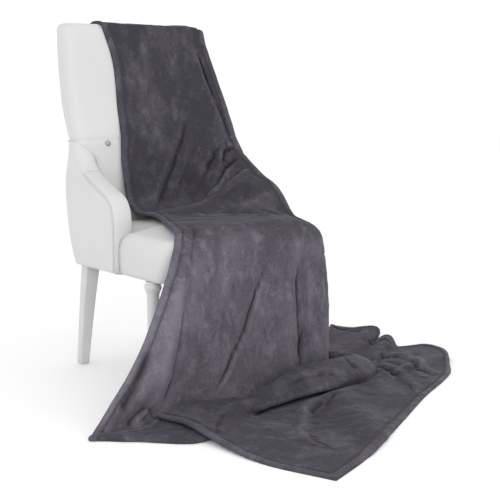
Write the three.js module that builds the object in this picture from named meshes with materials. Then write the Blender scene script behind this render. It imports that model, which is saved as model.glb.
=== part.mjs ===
// Fleece blanket draped over an upholstered dining chair, in millimetres, +Z up, chair facing -Y.
import * as THREE from 'three';

// Driving dimensions of the chair
const CHAIR = {
  height: 1051,
  underside: 325,
  seatEdge: 449,
  seatCrown: 27,
  seatCentre: -80,
  seatFront: -250,
  seatRake: 64,
  seatHalfWidth: 262,
  seatRear: 164.7,
  seatCorner: 24,
  seatStep: 0.7,
  backHalfWidth: 262,
  backCorner: 18,
  armOuter: 275,
  armInner: 213,
  armTop: 699.5,
  armFront: -37,
  armBevel: 9,
  buttonX: -165,
  buttonZ: 690,
  buttonRadius: 9,
  gap: 0.3,
};

// Legs: rows of height share, x, y and width for the rear ones, radius and height for the front ones
const REAR_LEG = [[0, 223, 252, 30], [0.6, 227, 212, 38], [1, 230, 181, 44]];
const REAR_LEG_TURN = 7;
const FRONT_LEG = [[13, 0], [14.5, 60], [17, 250], [17.5, 290], [20, 295], [24, 302], [24.5, 309],
  [23, 316], [20, 320]];
const FRONT_LEG_AT = [236, -179];

// Driving dimensions of the blanket: the back's and the arm's faces get a little more clearance,
// because their flat facets stand out beyond the curves
const CLOTH = {
  thickness: 3.5,
  clearance: 2.8,
  curveClearance: 1.5,
  columns: 34,
  topLeft: -130,
  topWidth: 384,
  topDrop: 16,
};

const LEATHER = new THREE.MeshStandardMaterial({ color: 0xe9e8e6, roughness: 0.45, metalness: 0 });
const PAINTED = new THREE.MeshStandardMaterial({ color: 0xf0efec, roughness: 0.4, metalness: 0 });
const FLEECE = new THREE.MeshStandardMaterial({ color: 0x56525a, roughness: 0.95, metalness: 0 });

const group = new THREE.Group();

function addMesh(name, geometry, material) {
  const mesh = new THREE.Mesh(geometry, material);
  mesh.name = name;
  group.add(mesh);
  return mesh;
}

// A smooth value read from rows of [position, value, value, ...] with rising positions
function readRows(rows, at) {
  const last = rows.length - 1;
  const x = Math.min(Math.max(at, rows[0][0]), rows[last][0]);
  let i = 0;
  while (i < last - 1 && x > rows[i + 1][0]) i += 1;
  const slope = (k, c) => {
    if (k === 0 || k === last) {
      const a = Math.min(k, last - 1);
      return (rows[a + 1][c] - rows[a][c]) / (rows[a + 1][0] - rows[a][0]);
    }
    const before = (rows[k][c] - rows[k - 1][c]) / (rows[k][0] - rows[k - 1][0]);
    const after = (rows[k + 1][c] - rows[k][c]) / (rows[k + 1][0] - rows[k][0]);
    return before * after <= 0 ? 0 : (2 * before * after) / (before + after);
  };
  const span = rows[i + 1][0] - rows[i][0];
  const t = (x - rows[i][0]) / span;
  const result = [];
  for (let c = 1; c < rows[0].length; c += 1) {
    const a = rows[i][c];
    const b = rows[i + 1][c];
    const h = t * t * (3 - 2 * t);
    const bend = t * (1 - t) * ((1 - t) * slope(i, c) - t * slope(i + 1, c)) * span;
    result.push(a + (b - a) * h + bend);
  }
  return result;
}

function smooth(from, to, value) {
  const t = Math.min(Math.max((value - from) / (to - from), 0), 1);
  return t * t * (3 - 2 * t);
}

// Closed solid from rings of equal length, the first and last filled by a fan
function ringSolid(rings) {
  const positions = [];
  const index = [];
  const n = rings[0].length;
  for (const ring of rings) for (const p of ring) positions.push(...p);
  for (let r = 0; r < rings.length - 1; r += 1) {
    for (let i = 0; i < n; i += 1) {
      const j = (i + 1) % n;
      const a = r * n + i;
      const b = r * n + j;
      index.push(a, b, b + n, a, b + n, a + n);
    }
  }
  const cap = (ring, start, up) => {
    const centre = positions.length / 3;
    const middle = [0, 1, 2].map((c) => ring.reduce((sum, p) => sum + p[c], 0) / n);
    positions.push(...middle);
    for (let i = 0; i < n; i += 1) {
      const j = (i + 1) % n;
      if (up) index.push(centre, start + i, start + j);
      else index.push(centre, start + j, start + i);
    }
  };
  cap(rings[0], 0, false);
  cap(rings[rings.length - 1], (rings.length - 1) * n, true);
  const geometry = new THREE.BufferGeometry();
  geometry.setAttribute('position', new THREE.Float32BufferAttribute(positions, 3));
  geometry.setIndex(index);
  geometry.computeVertexNormals();
  return geometry;
}

// Rectangle in plan with round corners, counter-clockwise from above
function roundedRectangle(x0, x1, y0, y1, radius, arcSteps) {
  const points = [];
  const corners = [[x1 - radius, y1 - radius, 0], [x0 + radius, y1 - radius, 1],
    [x0 + radius, y0 + radius, 2], [x1 - radius, y0 + radius, 3]];
  for (const [cx, cy, quarter] of corners) {
    for (let s = 0; s <= arcSteps; s += 1) {
      const angle = (quarter + s / arcSteps) * Math.PI / 2;
      points.push([cx + radius * Math.cos(angle), cy + radius * Math.sin(angle)]);
    }
  }
  return points;
}

// Back of the chair: rows of height, rear face, front face
const BACK_PROFILE = [
  [325, 203, 165],
  [381, 231, 165],
  [471, 253, 165],
  [578, 262, 170],
  [700, 257, 182],
  [745, 275, 200],
  [804, 298, 224],
  [865, 309, 239],
  [940, 325, 259],
  [1031, 341, 279],
  [1051, 344, 282],
];
const BACK_WIDTH = [[700, 260], [865, 259], [1051, 248]];

// Heights of the back's sections between the arms and above them, and the ledge over the arms
const BACK_LOWER = [325, 353, 381, 426, 471, 525, 578, 640, 700];
const BACK_UPPER = [706, 722, 745, 804, 865, 940, 985, 1016];
const SHOULDER = { z: 700.4, inset: 4 };

// Rounded top of the back: rows of height, how much narrower each side is, inset front and rear
const BACK_CROWN = [[1032, 8, 3], [1041, 18, 8], [1051, 46, 20]];

const backRear = (z) => readRows(BACK_PROFILE, z)[0];
const backFront = (z) => readRows(BACK_PROFILE, z)[1];

function makeBack() {
  const lowerHalf = CHAIR.armInner - CHAIR.gap;
  const upperHalf = (z) => readRows(BACK_WIDTH, z)[0];
  const ring = (z, halfWidth, inset) => roundedRectangle(-halfWidth, halfWidth,
    backFront(z) + inset, backRear(z) - inset, Math.max(CHAIR.backCorner - inset, 4), 4)
    .map(([x, y]) => [x, y, z]);
  const rings = BACK_LOWER.map((z) => ring(z, lowerHalf, 0));
  rings.push(ring(SHOULDER.z, upperHalf(SHOULDER.z) - SHOULDER.inset, SHOULDER.inset));
  for (const z of BACK_UPPER) rings.push(ring(z, upperHalf(z), 0));
  for (const [z, narrower, inset] of BACK_CROWN) {
    rings.push(ring(z, upperHalf(CHAIR.height) - narrower, inset));
  }
  addMesh('back', ringSolid(rings), LEATHER);
}

// Outer edge of an arm panel seen from the side: rows of y, z from the rear seam to the front foot
const ARM_EDGE = [
  [205, 697], [192, 676], [178, 650], [158, 622], [133, 604], [90, 584], [40, 563],
  [4, 547], [-18, 528], [-30, 503], [-35, 470], [-36, 400], [-34, 325],
];
const ARM_TOP = ARM_EDGE.slice(0, 11).reverse();
const armTop = (y) => (y < CHAIR.armFront ? 0 : readRows(ARM_TOP, y)[0]);

function makeArm(name, side) {
  const bevel = CHAIR.armBevel;
  const rearEdge = [...BACK_LOWER.slice(0, -1), CHAIR.armTop].map((z) => [backRear(z) - 1, z]);
  const outline = [...rearEdge, ...ARM_EDGE];
  const shape = new THREE.Shape(outline.map(([y, z]) => new THREE.Vector2(y, z)));
  const width = CHAIR.armOuter - CHAIR.armInner;
  const geometry = new THREE.ExtrudeGeometry(shape, {
    depth: width - 2 * bevel,
    bevelThickness: bevel,
    bevelSize: bevel,
    bevelOffset: -bevel,
    bevelSegments: 2,
  });
  geometry.translate(0, 0, bevel);
  const toSide = new THREE.Matrix4().set(0, 0, 1, 0, 1, 0, 0, 0, 0, 1, 0, 0, 0, 0, 0, 1);
  geometry.applyMatrix4(toSide);
  geometry.translate(side > 0 ? CHAIR.armInner : -CHAIR.armOuter, 0, 0);
  addMesh(name, geometry, LEATHER);
}

// Seat: T shape in plan, between the arms at the rear and full width in front of them
function seatOutline(inset) {
  const rearHalf = CHAIR.armInner - CHAIR.gap;
  const frontHalf = CHAIR.seatHalfWidth;
  const step = CHAIR.armFront - CHAIR.gap - CHAIR.seatStep;
  const corner = CHAIR.seatCorner;
  const front = CHAIR.seatFront;
  const rear = CHAIR.seatRear - inset;
  const points = [];
  const frontArc = (cx, from, to) => {
    for (let s = 0; s <= 4; s += 1) {
      const angle = (from + (to - from) * s / 4) * Math.PI / 180;
      points.push([cx + (corner - inset) * Math.cos(angle),
        front + corner + (corner - inset) * Math.sin(angle)]);
    }
  };
  const along = (x0, y0, x1, y1, steps) => {
    for (let s = 0; s < steps; s += 1) {
      points.push([x0 + (x1 - x0) * s / steps, y0 + (y1 - y0) * s / steps]);
    }
  };
  along(rearHalf - inset, rear, -rearHalf + inset, rear, 4);
  along(-rearHalf + inset, rear, -rearHalf + inset, step - inset, 3);
  along(-rearHalf + inset, step - inset, -frontHalf + inset, step - inset, 1);
  along(-frontHalf + inset, step - inset, -frontHalf + inset, front + corner, 3);
  frontArc(-frontHalf + corner, 180, 270);
  along(-frontHalf + 2 * corner, front + inset, frontHalf - corner, front + inset, 4);
  frontArc(frontHalf - corner, 270, 360);
  along(frontHalf - inset, front + 3 * corner, frontHalf - inset, step - inset, 2);
  along(frontHalf - inset, step - inset, rearHalf - inset, step - inset, 1);
  along(rearHalf - inset, step - inset, rearHalf - inset, rear, 3);
  return points;
}

// How far the seat's front leans out at a height
const seatRakeAt = (y, z) => CHAIR.seatRake * smooth(-40, CHAIR.seatFront, y)
  * (z - CHAIR.underside) / (CHAIR.seatEdge - CHAIR.underside);

// Side of the seat: rows of height, inset
const SEAT_SIDE = [[325, 7], [331, 1], [345, 0], [395, 0], [425, 0], [438, 5], [449, 17]];

function makeSeat() {
  const rake = (z) => ([x, y]) => [x, y - seatRakeAt(y, z), z];
  const rings = SEAT_SIDE.map(([z, inset]) => seatOutline(inset).map(rake(z)));
  const edge = rings[rings.length - 1];
  for (const scale of [0.8, 0.5, 0.2]) {
    const z = CHAIR.seatEdge + CHAIR.seatCrown * (1 - scale * scale);
    const y0 = CHAIR.seatCentre;
    rings.push(edge.map(([x, y]) => [x * scale, y0 + (y - y0) * scale, z]));
  }
  addMesh('seat', ringSolid(rings), LEATHER);
}

function makeRearLeg(name, side) {
  const top = CHAIR.underside - CHAIR.gap;
  const turn = side * REAR_LEG_TURN * Math.PI / 180;
  const rings = REAR_LEG.map(([share, x, y, width]) => {
    const z = share * top;
    return [[1, 1], [-1, 1], [-1, -1], [1, -1]].map(([a, b]) => {
      const dx = a * width / 2;
      const dy = b * width / 2;
      return [side * x + dx * Math.cos(turn) - dy * Math.sin(turn),
        y + dx * Math.sin(turn) + dy * Math.cos(turn), z];
    });
  });
  addMesh(name, ringSolid(rings), PAINTED);
}

function makeFrontLeg(name, side) {
  const top = CHAIR.underside - CHAIR.gap;
  const neck = FRONT_LEG[FRONT_LEG.length - 1][0];
  const profile = [[0, 0], ...FRONT_LEG, [neck, top], [0, top]];
  const geometry = new THREE.LatheGeometry(profile.map(([r, z]) => new THREE.Vector2(r, z)), 20);
  geometry.rotateX(Math.PI / 2);
  geometry.translate(side * FRONT_LEG_AT[0], FRONT_LEG_AT[1], 0);
  addMesh(name, geometry, PAINTED);
}

function makeButton() {
  const button = new THREE.SphereGeometry(CHAIR.buttonRadius, 16, 10);
  button.scale(1, 0.5, 1);
  const mesh = addMesh('button_left', button, LEATHER);
  const y = backFront(CHAIR.buttonZ) - CHAIR.buttonRadius / 2 - CHAIR.gap;
  mesh.position.set(CHAIR.buttonX, y, CHAIR.buttonZ);
}

// Middle of the cloth: half its thickness, how far it stands off the chair, its height on the top
const half = CLOTH.thickness / 2;
const offChair = CLOTH.clearance + half;
const topZ = CHAIR.height + offChair;

// Where it lies against the back: rows of height, left hem, right hem, stand-off of the right hem
const ON_BACK = [
  [560, -118, 292, 60],
  [664, -126, 290, 52],
  [762, -112, 281, 48],
  [860, -103, 271, 36],
  [947, -100, 262, 12],
  [1050, -117, 254, 4],
];

// Stations are lines across the cloth. Each has a bend (how far its rounding reaches), the rows in
// that rounding, the rows to the next station, and its points from the left hem to the right hem
function againstBack(name, z, bend, arc, steps) {
  const [left, right, standOff] = readRows(ON_BACK, z);
  const at = (u) => {
    const away = offChair + standOff * smooth(0.5, 1, u) ** 1.3;
    return [left + (right - left) * u, backFront(z) - away, z];
  };
  return { name, bend, arc, steps, at };
}

function level(name, y, z, bend, arc, steps) {
  const at = (u) => {
    const drop = CLOTH.topDrop * smooth(0.88, 1, u);
    return [CLOTH.topLeft + CLOTH.topWidth * u, y, z - drop];
  };
  return { name, bend, arc, steps, at };
}

// The table has rows of across, x, y, z
function rows(name, bend, arc, steps, table) {
  return { name, bend, arc, steps, at: (u) => readRows(table, u) };
}

// From the hem behind the back to the hem on the floor
const STATIONS = [
  level('rear hem', 349, 806, 0, 1, 2),
  level('rear top', 349, topZ, 14, 2, 1),
  level('front top', 288, topZ, 16, 2, 1),
  againstBack('upper back', 947, 30, 1, 2),
  againstBack('middle back', 800, 40, 1, 2),
  againstBack('lower back', 664, 30, 1, 2),
  rows('leaves back', 34, 1, 2, [
    [0, -124, 146, 512], [0.35, 10, 155, 518], [0.6, 108, 156, 524], [0.8, 212, 118, 606],
    [1, 292, 66, 624]]),
  rows('seat crease', 12, 1, 1, [
    [0, -142, 56, 484], [0.35, 22, 74, 485], [0.6, 112, 112, 489], [0.8, 220, 52, 578],
    [1, 294, 0, 585]]),
  rows('roll top', 22, 1, 1, [
    [0, -130, 2, 489], [0.35, 10, 14, 506], [0.6, 108, 30, 518], [0.8, 222, -28, 560],
    [1, 295, -84, 550]]),
  rows('roll foot', 14, 1, 3, [
    [0, -140, -66, 479], [0.35, -12, -55, 477], [0.6, 92, -90, 477], [0.8, 210, -138, 483],
    [1, 291, -155, 468]]),
  rows('seat front', 26, 2, 1, [
    [0, -236, -290, 474], [0.3, -80, -298, 480], [0.6, 70, -300, 481], [0.8, 188, -298, 476],
    [1, 288, -262, 446]]),
  rows('front top edge', 20, 1, 2, [
    [0, -262, -324, 440], [0.3, -98, -327, 441], [0.6, 62, -327, 441], [0.8, 192, -326, 438],
    [1, 285, -298, 424]]),
  rows('upper panel', 60, 1, 3, [
    [0, -306, -336, 330], [0.1, -252, -352, 330], [0.3, -112, -340, 330], [0.6, 60, -334, 330],
    [0.85, 215, -336, 330], [1, 292, -306, 330]]),
  rows('lower panel', 60, 1, 2, [
    [0, -408, -368, 160], [0.12, -322, -392, 160], [0.3, -185, -362, 160], [0.6, 40, -346, 160],
    [0.85, 232, -338, 160], [1, 316, -302, 160]]),
  rows('panel foot', 24, 2, 2, [
    [0, -566, -424, 20], [0.05, -512, -414, 4], [0.12, -440, -398, 3], [0.22, -340, -378, 0],
    [0.35, -230, -368, 0], [0.5, -95, -376, 0], [0.75, 122, -350, 0], [0.9, 270, -326, 0],
    [0.96, 318, -296, 0], [1, 322, -246, 0]]),
  rows('front fold', 5, 2, 1, [
    [0, -592, -436, 0], [0.12, -486, -534, 0], [0.27, -372, -618, 0], [0.4, -190, -518, 0],
    [0.5, -90, -470, 0], [0.6, 15, -432, 0], [0.8, 204, -388, 0], [0.9, 360, -352, 0],
    [0.96, 408, -262, 0], [1, 404, -160, 0]]),
  rows('fold return', 5, 2, 1, [
    [0, -590, -434, 12.5], [0.12, -484, -532, 12.5], [0.27, -370, -616, 12.5],
    [0.4, -189, -516, 12.5], [0.5, -90, -468, 12.5], [0.6, 15, -430, 12.5],
    [0.8, 204, -386, 12.5], [0.9, 359, -350, 12.5], [0.96, 406, -262, 12.5],
    [1, 402, -160, 12.5]]),
  rows('return flat', 16, 1, 1, [
    [0, -462, -482, 12.5], [0.12, -378, -532, 13], [0.27, -288, -558, 14], [0.4, -174, -484, 17],
    [0.5, -86, -463, 22], [0.6, 15, -427, 26], [0.8, 203, -383, 28], [0.9, 356, -346, 25],
    [0.96, 402, -261, 22], [1, 398, -160, 16]]),
  rows('under ridge', 5, 1, 1, [
    [0, -388, -430, 14], [0.1, -312, -404, 17], [0.2, -256, -402, 22], [0.32, -200, -424, 27],
    [0.45, -124, -462, 32], [0.55, -38, -444, 40], [0.68, 94, -388, 46], [0.78, 174, -380, 46],
    [0.86, 290, -360, 42], [0.92, 376, -332, 36], [0.96, 398, -260, 30], [1, 390, -160, 20]]),
  rows('ridge', 10, 2, 1, [
    [0, -392, -427, 24], [0.1, -314, -401, 28], [0.2, -257, -398, 34], [0.32, -201, -424, 39],
    [0.45, -125, -470, 46], [0.55, -40, -456, 60], [0.68, 92, -400, 72], [0.78, 172, -392, 76],
    [0.86, 290, -374, 72], [0.92, 386, -345, 58], [0.96, 412, -262, 46], [1, 400, -150, 30]]),
  rows('roll front', 16, 1, 1, [
    [0, -372, -520, 26], [0.15, -282, -500, 29], [0.3, -222, -522, 30], [0.45, -140, -532, 30],
    [0.55, -40, -512, 34], [0.68, 120, -492, 34], [0.8, 272, -484, 34], [0.88, 376, -440, 32],
    [0.94, 452, -350, 28], [0.97, 478, -246, 22], [1, 462, -92, 16]]),
  rows('roll shadow', 10, 1, 5, [
    [0, -370, -616, 20], [0.15, -275, -590, 18], [0.3, -205, -556, 12], [0.45, -132, -514, 4],
    [0.55, -32, -492, 4], [0.68, 118, -470, 4], [0.8, 262, -462, 4], [0.88, 368, -436, 6],
    [0.94, 440, -346, 4], [0.97, 462, -246, 4], [1, 456, -90, 4]]),
  rows('train', 60, 1, 5, [
    [0, -362, -822, 0], [0.13, -218, -768, 0], [0.37, -22, -664, 0], [0.58, 192, -572, 0],
    [0.8, 436, -496, 0], [0.85, 512, -440, 5], [0.885, 566, -374, 14], [0.91, 548, -300, 7],
    [0.935, 580, -244, 13], [0.955, 578, -186, 7], [0.975, 620, -110, 15], [1, 612, 62, 10]]),
  rows('outer hem', 0, 1, 0, [
    [0, -290, -1011, 0], [0.13, -132, -944, 0], [0.37, 127, -797, 0], [0.58, 364, -658, 0],
    [0.8, 608, -528, 0], [0.85, 700, -438, 4], [0.885, 762, -340, 26], [0.91, 692, -232, 6],
    [0.935, 728, -142, 24], [0.955, 718, -88, 8], [0.972, 780, -36, 30], [0.985, 714, 40, 20],
    [1, 738, 165, 14]]),
];
const stationNumber = (name) => STATIONS.findIndex((station) => station.name === name);

// Soft folds: where each starts and ends, as station and across, its width across and its height
const FOLDS = [
  { from: ['upper back', 0.55], to: ['seat crease', 0.16], width: 0.05, height: 9 },
  { from: ['middle back', 0.7], to: ['seat crease', 0.28], width: 0.06, height: 8 },
  { from: ['lower back', 0.86], to: ['roll top', 0.62], width: 0.05, height: 12 },
  { from: ['lower back', 0.95], to: ['roll foot', 0.8], width: 0.05, height: 10 },
  { from: ['front top edge', 0.06], to: ['panel foot', 0.1], width: 0.05, height: 20 },
  { from: ['front top edge', 0.44], to: ['panel foot', 0.3], width: 0.035, height: -8 },
  { from: ['front top edge', 0.82], to: ['panel foot', 0.8], width: 0.035, height: -18 },
  { from: ['seat front', 0.9], to: ['panel foot', 0.9], width: 0.045, height: 12 },
  { from: ['roll shadow', 0.78], to: ['outer hem', 0.22], width: 0.09, height: 18 },
  { from: ['roll shadow', 0.86], to: ['outer hem', 0.86], width: 0.012, height: 12 },
  { from: ['roll shadow', 0.9], to: ['outer hem', 0.9], width: 0.01, height: 14 },
  { from: ['roll shadow', 0.93], to: ['outer hem', 0.935], width: 0.01, height: 16 },
  { from: ['roll shadow', 0.97], to: ['outer hem', 0.972], width: 0.01, height: 16 },
];

function pointBetween(a, b, distance) {
  const length = a.distanceTo(b);
  return a.clone().lerp(b, distance / length);
}

// One row of samples down the blanket at `u` across, with the station number of each
function pathDown(u) {
  const points = STATIONS.map((station) => new THREE.Vector3(...station.at(u)));
  const samples = [];
  const last = points.length - 1;
  let start = points[0];
  for (let k = 0; k < last; k += 1) {
    const a = points[k];
    const b = points[k + 1];
    const reach = k + 1 === last ? 0
      : Math.min(STATIONS[k + 1].bend, 0.45 * a.distanceTo(b), 0.45 * b.distanceTo(points[k + 2]));
    const end = reach > 0 ? pointBetween(b, a, reach) : b.clone();
    const steps = STATIONS[k].steps;
    for (let s = 0; s < steps; s += 1) {
      const t = s / steps;
      const along = start.clone().lerp(end, t);
      const station = k + along.distanceTo(a) / a.distanceTo(b);
      samples.push({ point: along, station });
    }
    if (k + 1 === last) {
      samples.push({ point: b.clone(), station: last });
      break;
    }
    const next = pointBetween(b, points[k + 2], reach);
    const nextShare = reach / b.distanceTo(points[k + 2]);
    const endShare = 1 - reach / a.distanceTo(b);
    const arc = STATIONS[k + 1].arc;
    for (let s = 0; s < arc; s += 1) {
      const t = s / arc;
      const p = end.clone().multiplyScalar((1 - t) ** 2)
        .addScaledVector(b, 2 * t * (1 - t)).addScaledVector(next, t * t);
      samples.push({ point: p, station: k + endShare + (1 - endShare + nextShare) * t });
    }
    start = next;
  }
  return samples;
}

// Direction away from the chair's side of the cloth at every point of a grid
function normalsOf(grid) {
  const rowCount = grid[0].length;
  return grid.map((column, i) => column.map((_, j) => {
    const left = grid[Math.max(i - 1, 0)][j];
    const right = grid[Math.min(i + 1, grid.length - 1)][j];
    const up = column[Math.max(j - 1, 0)];
    const down = column[Math.min(j + 1, rowCount - 1)];
    return right.clone().sub(left).cross(up.clone().sub(down)).normalize();
  }));
}

// Height that the folds add at a station and a place across, fading at both ends but not at the hem
function foldHeight(station, u) {
  let height = 0;
  for (const fold of FOLDS) {
    const s0 = stationNumber(fold.from[0]);
    const s1 = stationNumber(fold.to[0]);
    const t = (station - s0) / (s1 - s0);
    if (t <= 0 || t >= 1) continue;
    const centre = fold.from[1] + (fold.to[1] - fold.from[1]) * t;
    const fade = Math.min(1, 4 * t, fold.to[0] === 'outer hem' ? 1 : 4 * (1 - t));
    height += fold.height * fade * Math.exp(-(((u - centre) / fold.width) ** 2));
  }
  return height;
}

// Keeps the middle of the cloth above the right arm, in front of the back and above the floor
const ARM_LEAD = 14;
const ARM_FRONT_LEAD = 6;
const ARM_ROUND = 3;
const ABOVE_SEAT = 560;
function clearOfChair(p) {
  const away = offChair + CLOTH.curveClearance;
  const overArm = p.x > CHAIR.armInner - ARM_LEAD && p.x < CHAIR.armOuter + offChair
    && p.y > CHAIR.armFront - ARM_FRONT_LEAD && p.y < ARM_EDGE[0][0] && p.z < CHAIR.armTop;
  if (overArm) {
    const side = smooth(CHAIR.armInner - ARM_LEAD, CHAIR.armInner, p.x);
    const top = armTop(Math.max(p.y, CHAIR.armFront + ARM_ROUND)) + away;
    if (p.z < top) p.z += (top - p.z) * side;
  }
  const face = backFront(p.z);
  const beforeBack = p.z > ABOVE_SEAT && p.z < CHAIR.height && p.y < face + CHAIR.backCorner
    && Math.abs(p.x) < CHAIR.backHalfWidth + offChair;
  if (beforeBack) p.y = Math.min(p.y, face - away);
  p.z = Math.max(p.z, half);
}

// The columns stand closer together towards the right hem, whose end fans out widest on the floor:
// this share of them covers this part of the width
const WIDE_COLUMNS = 0.62;
const WIDE_PART = 0.8;
function across(share) {
  if (share < WIDE_COLUMNS) return (share * WIDE_PART) / WIDE_COLUMNS;
  return WIDE_PART + ((share - WIDE_COLUMNS) * (1 - WIDE_PART)) / (1 - WIDE_COLUMNS);
}

function blanketGrid() {
  const columns = [];
  for (let i = 0; i <= CLOTH.columns; i += 1) columns.push(pathDown(across(i / CLOTH.columns)));
  const base = columns.map((column) => column.map((sample) => sample.point));
  const normals = normalsOf(base);
  return base.map((column, i) => column.map((p, j) => {
    const height = foldHeight(columns[i][j].station, across(i / CLOTH.columns));
    const moved = p.clone().addScaledVector(normals[i][j], height);
    clearOfChair(moved);
    return moved;
  }));
}

// The grid's two faces, half the thickness to either side, and a rim round them
function makeBlanket() {
  const grid = blanketGrid();
  const normals = normalsOf(grid);
  const wide = grid.length;
  const down = grid[0].length;
  const positions = [];
  for (const side of [1, -1]) {
    for (let i = 0; i < wide; i += 1) {
      for (let j = 0; j < down; j += 1) {
        const p = grid[i][j].clone().addScaledVector(normals[i][j], side * half);
        positions.push(p.x, p.y, Math.max(p.z, 0));
      }
    }
  }
  const at = (face, i, j) => face * wide * down + i * down + j;
  const index = [];
  for (let i = 0; i < wide - 1; i += 1) {
    for (let j = 0; j < down - 1; j += 1) {
      const front = [at(0, i, j), at(0, i, j + 1), at(0, i + 1, j + 1), at(0, i + 1, j)];
      index.push(front[0], front[1], front[2], front[0], front[2], front[3]);
      const rear = [at(1, i, j), at(1, i + 1, j), at(1, i + 1, j + 1), at(1, i, j + 1)];
      index.push(rear[0], rear[1], rear[2], rear[0], rear[2], rear[3]);
    }
  }
  const rim = (i0, j0, i1, j1) => {
    index.push(at(0, i0, j0), at(0, i1, j1), at(1, i1, j1));
    index.push(at(0, i0, j0), at(1, i1, j1), at(1, i0, j0));
  };
  for (let j = 0; j < down - 1; j += 1) {
    rim(0, j + 1, 0, j);
    rim(wide - 1, j, wide - 1, j + 1);
  }
  for (let i = 0; i < wide - 1; i += 1) {
    rim(i, 0, i + 1, 0);
    rim(i + 1, down - 1, i, down - 1);
  }
  const geometry = new THREE.BufferGeometry();
  geometry.setAttribute('position', new THREE.Float32BufferAttribute(positions, 3));
  geometry.setIndex(index);
  geometry.computeVertexNormals();
  addMesh('blanket', geometry, FLEECE);
}

makeSeat();
makeBack();
makeArm('arm_left', -1);
makeArm('arm_right', 1);
makeRearLeg('leg_rear_left', -1);
makeRearLeg('leg_rear_right', 1);
makeFrontLeg('leg_front_left', -1);
makeFrontLeg('leg_front_right', 1);
makeButton();
makeBlanket();

// The origin lies under the middle of the whole, on the floor
const bounds = new THREE.Box3().setFromObject(group);
const middle = bounds.getCenter(new THREE.Vector3());
group.position.set(-middle.x, -middle.y, 0);

export default group;
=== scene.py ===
"""Plush fleece blanket draped over an upholstered dining chair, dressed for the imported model.

Sizes in the tables are millimetres in the chair's own frame: its origin lies on the floor under
the middle of the chair, and the chair faces -Y. PLACE moves that frame into the model's.
"""

import math

import bmesh
import bpy
import numpy as np
from bpy.props import FloatProperty, FloatVectorProperty, IntProperty, PointerProperty
from mathutils import Matrix, Vector
from mathutils.geometry import delaunay_2d_cdt


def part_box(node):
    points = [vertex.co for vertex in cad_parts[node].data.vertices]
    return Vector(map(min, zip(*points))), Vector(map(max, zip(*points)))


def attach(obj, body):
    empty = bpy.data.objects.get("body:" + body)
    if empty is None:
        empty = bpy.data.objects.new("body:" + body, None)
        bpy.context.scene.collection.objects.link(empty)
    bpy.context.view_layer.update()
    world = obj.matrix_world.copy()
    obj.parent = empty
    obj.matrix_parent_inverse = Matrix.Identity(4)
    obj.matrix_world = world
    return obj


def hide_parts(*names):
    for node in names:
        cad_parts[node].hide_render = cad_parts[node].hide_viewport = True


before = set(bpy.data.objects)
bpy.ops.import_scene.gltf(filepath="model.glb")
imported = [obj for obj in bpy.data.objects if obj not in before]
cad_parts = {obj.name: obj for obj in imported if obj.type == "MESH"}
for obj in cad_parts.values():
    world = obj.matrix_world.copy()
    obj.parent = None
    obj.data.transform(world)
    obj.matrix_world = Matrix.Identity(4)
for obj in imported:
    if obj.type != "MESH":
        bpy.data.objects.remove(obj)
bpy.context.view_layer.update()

bl_info = {
    "name": "Draped Fleece Blanket",
    "version": (1, 0, 0),
    "blender": (4, 5, 0),
    "location": "3D View > Sidebar > Blanket",
    "description": "A fleece blanket draped over an upholstered dining chair",
    "category": "Add Mesh",
}

MM = 0.001
SEAT_LOW, SEAT_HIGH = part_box("seat")
SEAT_REAR = 164.7
PLACE = np.array(
    [(SEAT_LOW[0] + SEAT_HIGH[0]) / 2, SEAT_HIGH[1] - SEAT_REAR * MM, 0.0]
)

# Chair: its main sizes
CHAIR = {
    "height": 1051.0, "underside": 325.0, "seat_edge": 449.0, "seat_crown": 27.0,
    "seat_front": -250.0, "seat_rake": 64.0, "seat_half": 262.0, "seat_centre": -80.0,
    "arm_outer": 275.0, "arm_inner": 213.0, "arm_top": 699.5, "arm_front": -37.0,
}

# The chair's back: rows of height, rear face, front face, and rows of height, half width
BACK_PROFILE = [
    (325, 203, 165), (381, 231, 165), (471, 253, 165), (578, 262, 170), (700, 257, 182),
    (745, 275, 200), (804, 298, 224), (865, 309, 239), (940, 325, 259), (1031, 341, 279),
    (1051, 344, 282),
]
BACK_WIDTH = [(700, 260), (865, 259), (1051, 248)]

# Edge of an arm seen from the side: rows of y, z from the rear seam to the front foot
ARM_EDGE = [
    (205, 697), (192, 676), (178, 650), (158, 622), (133, 604), (90, 584), (40, 563),
    (4, 547), (-18, 528), (-30, 503), (-35, 470), (-36, 400), (-34, 325),
]

# Where the blanket lies against the back: rows of height, left hem, right hem, stand-off
ON_BACK = [
    (560, -118, 292, 60), (664, -126, 290, 52), (762, -112, 281, 48), (860, -103, 271, 36),
    (947, -100, 262, 12), (1050, -117, 254, 4),
]

# Lines over the back's top: left hem, width, and how far the right corner droops
TOP_LEFT, TOP_WIDTH, CORNER_DROOP = -130, 384, 16

# The stand-off from the back grows from this place across to the right hem, as this power
STAND_OFF_FROM, STAND_OFF_POWER = 0.5, 1.3

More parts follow.
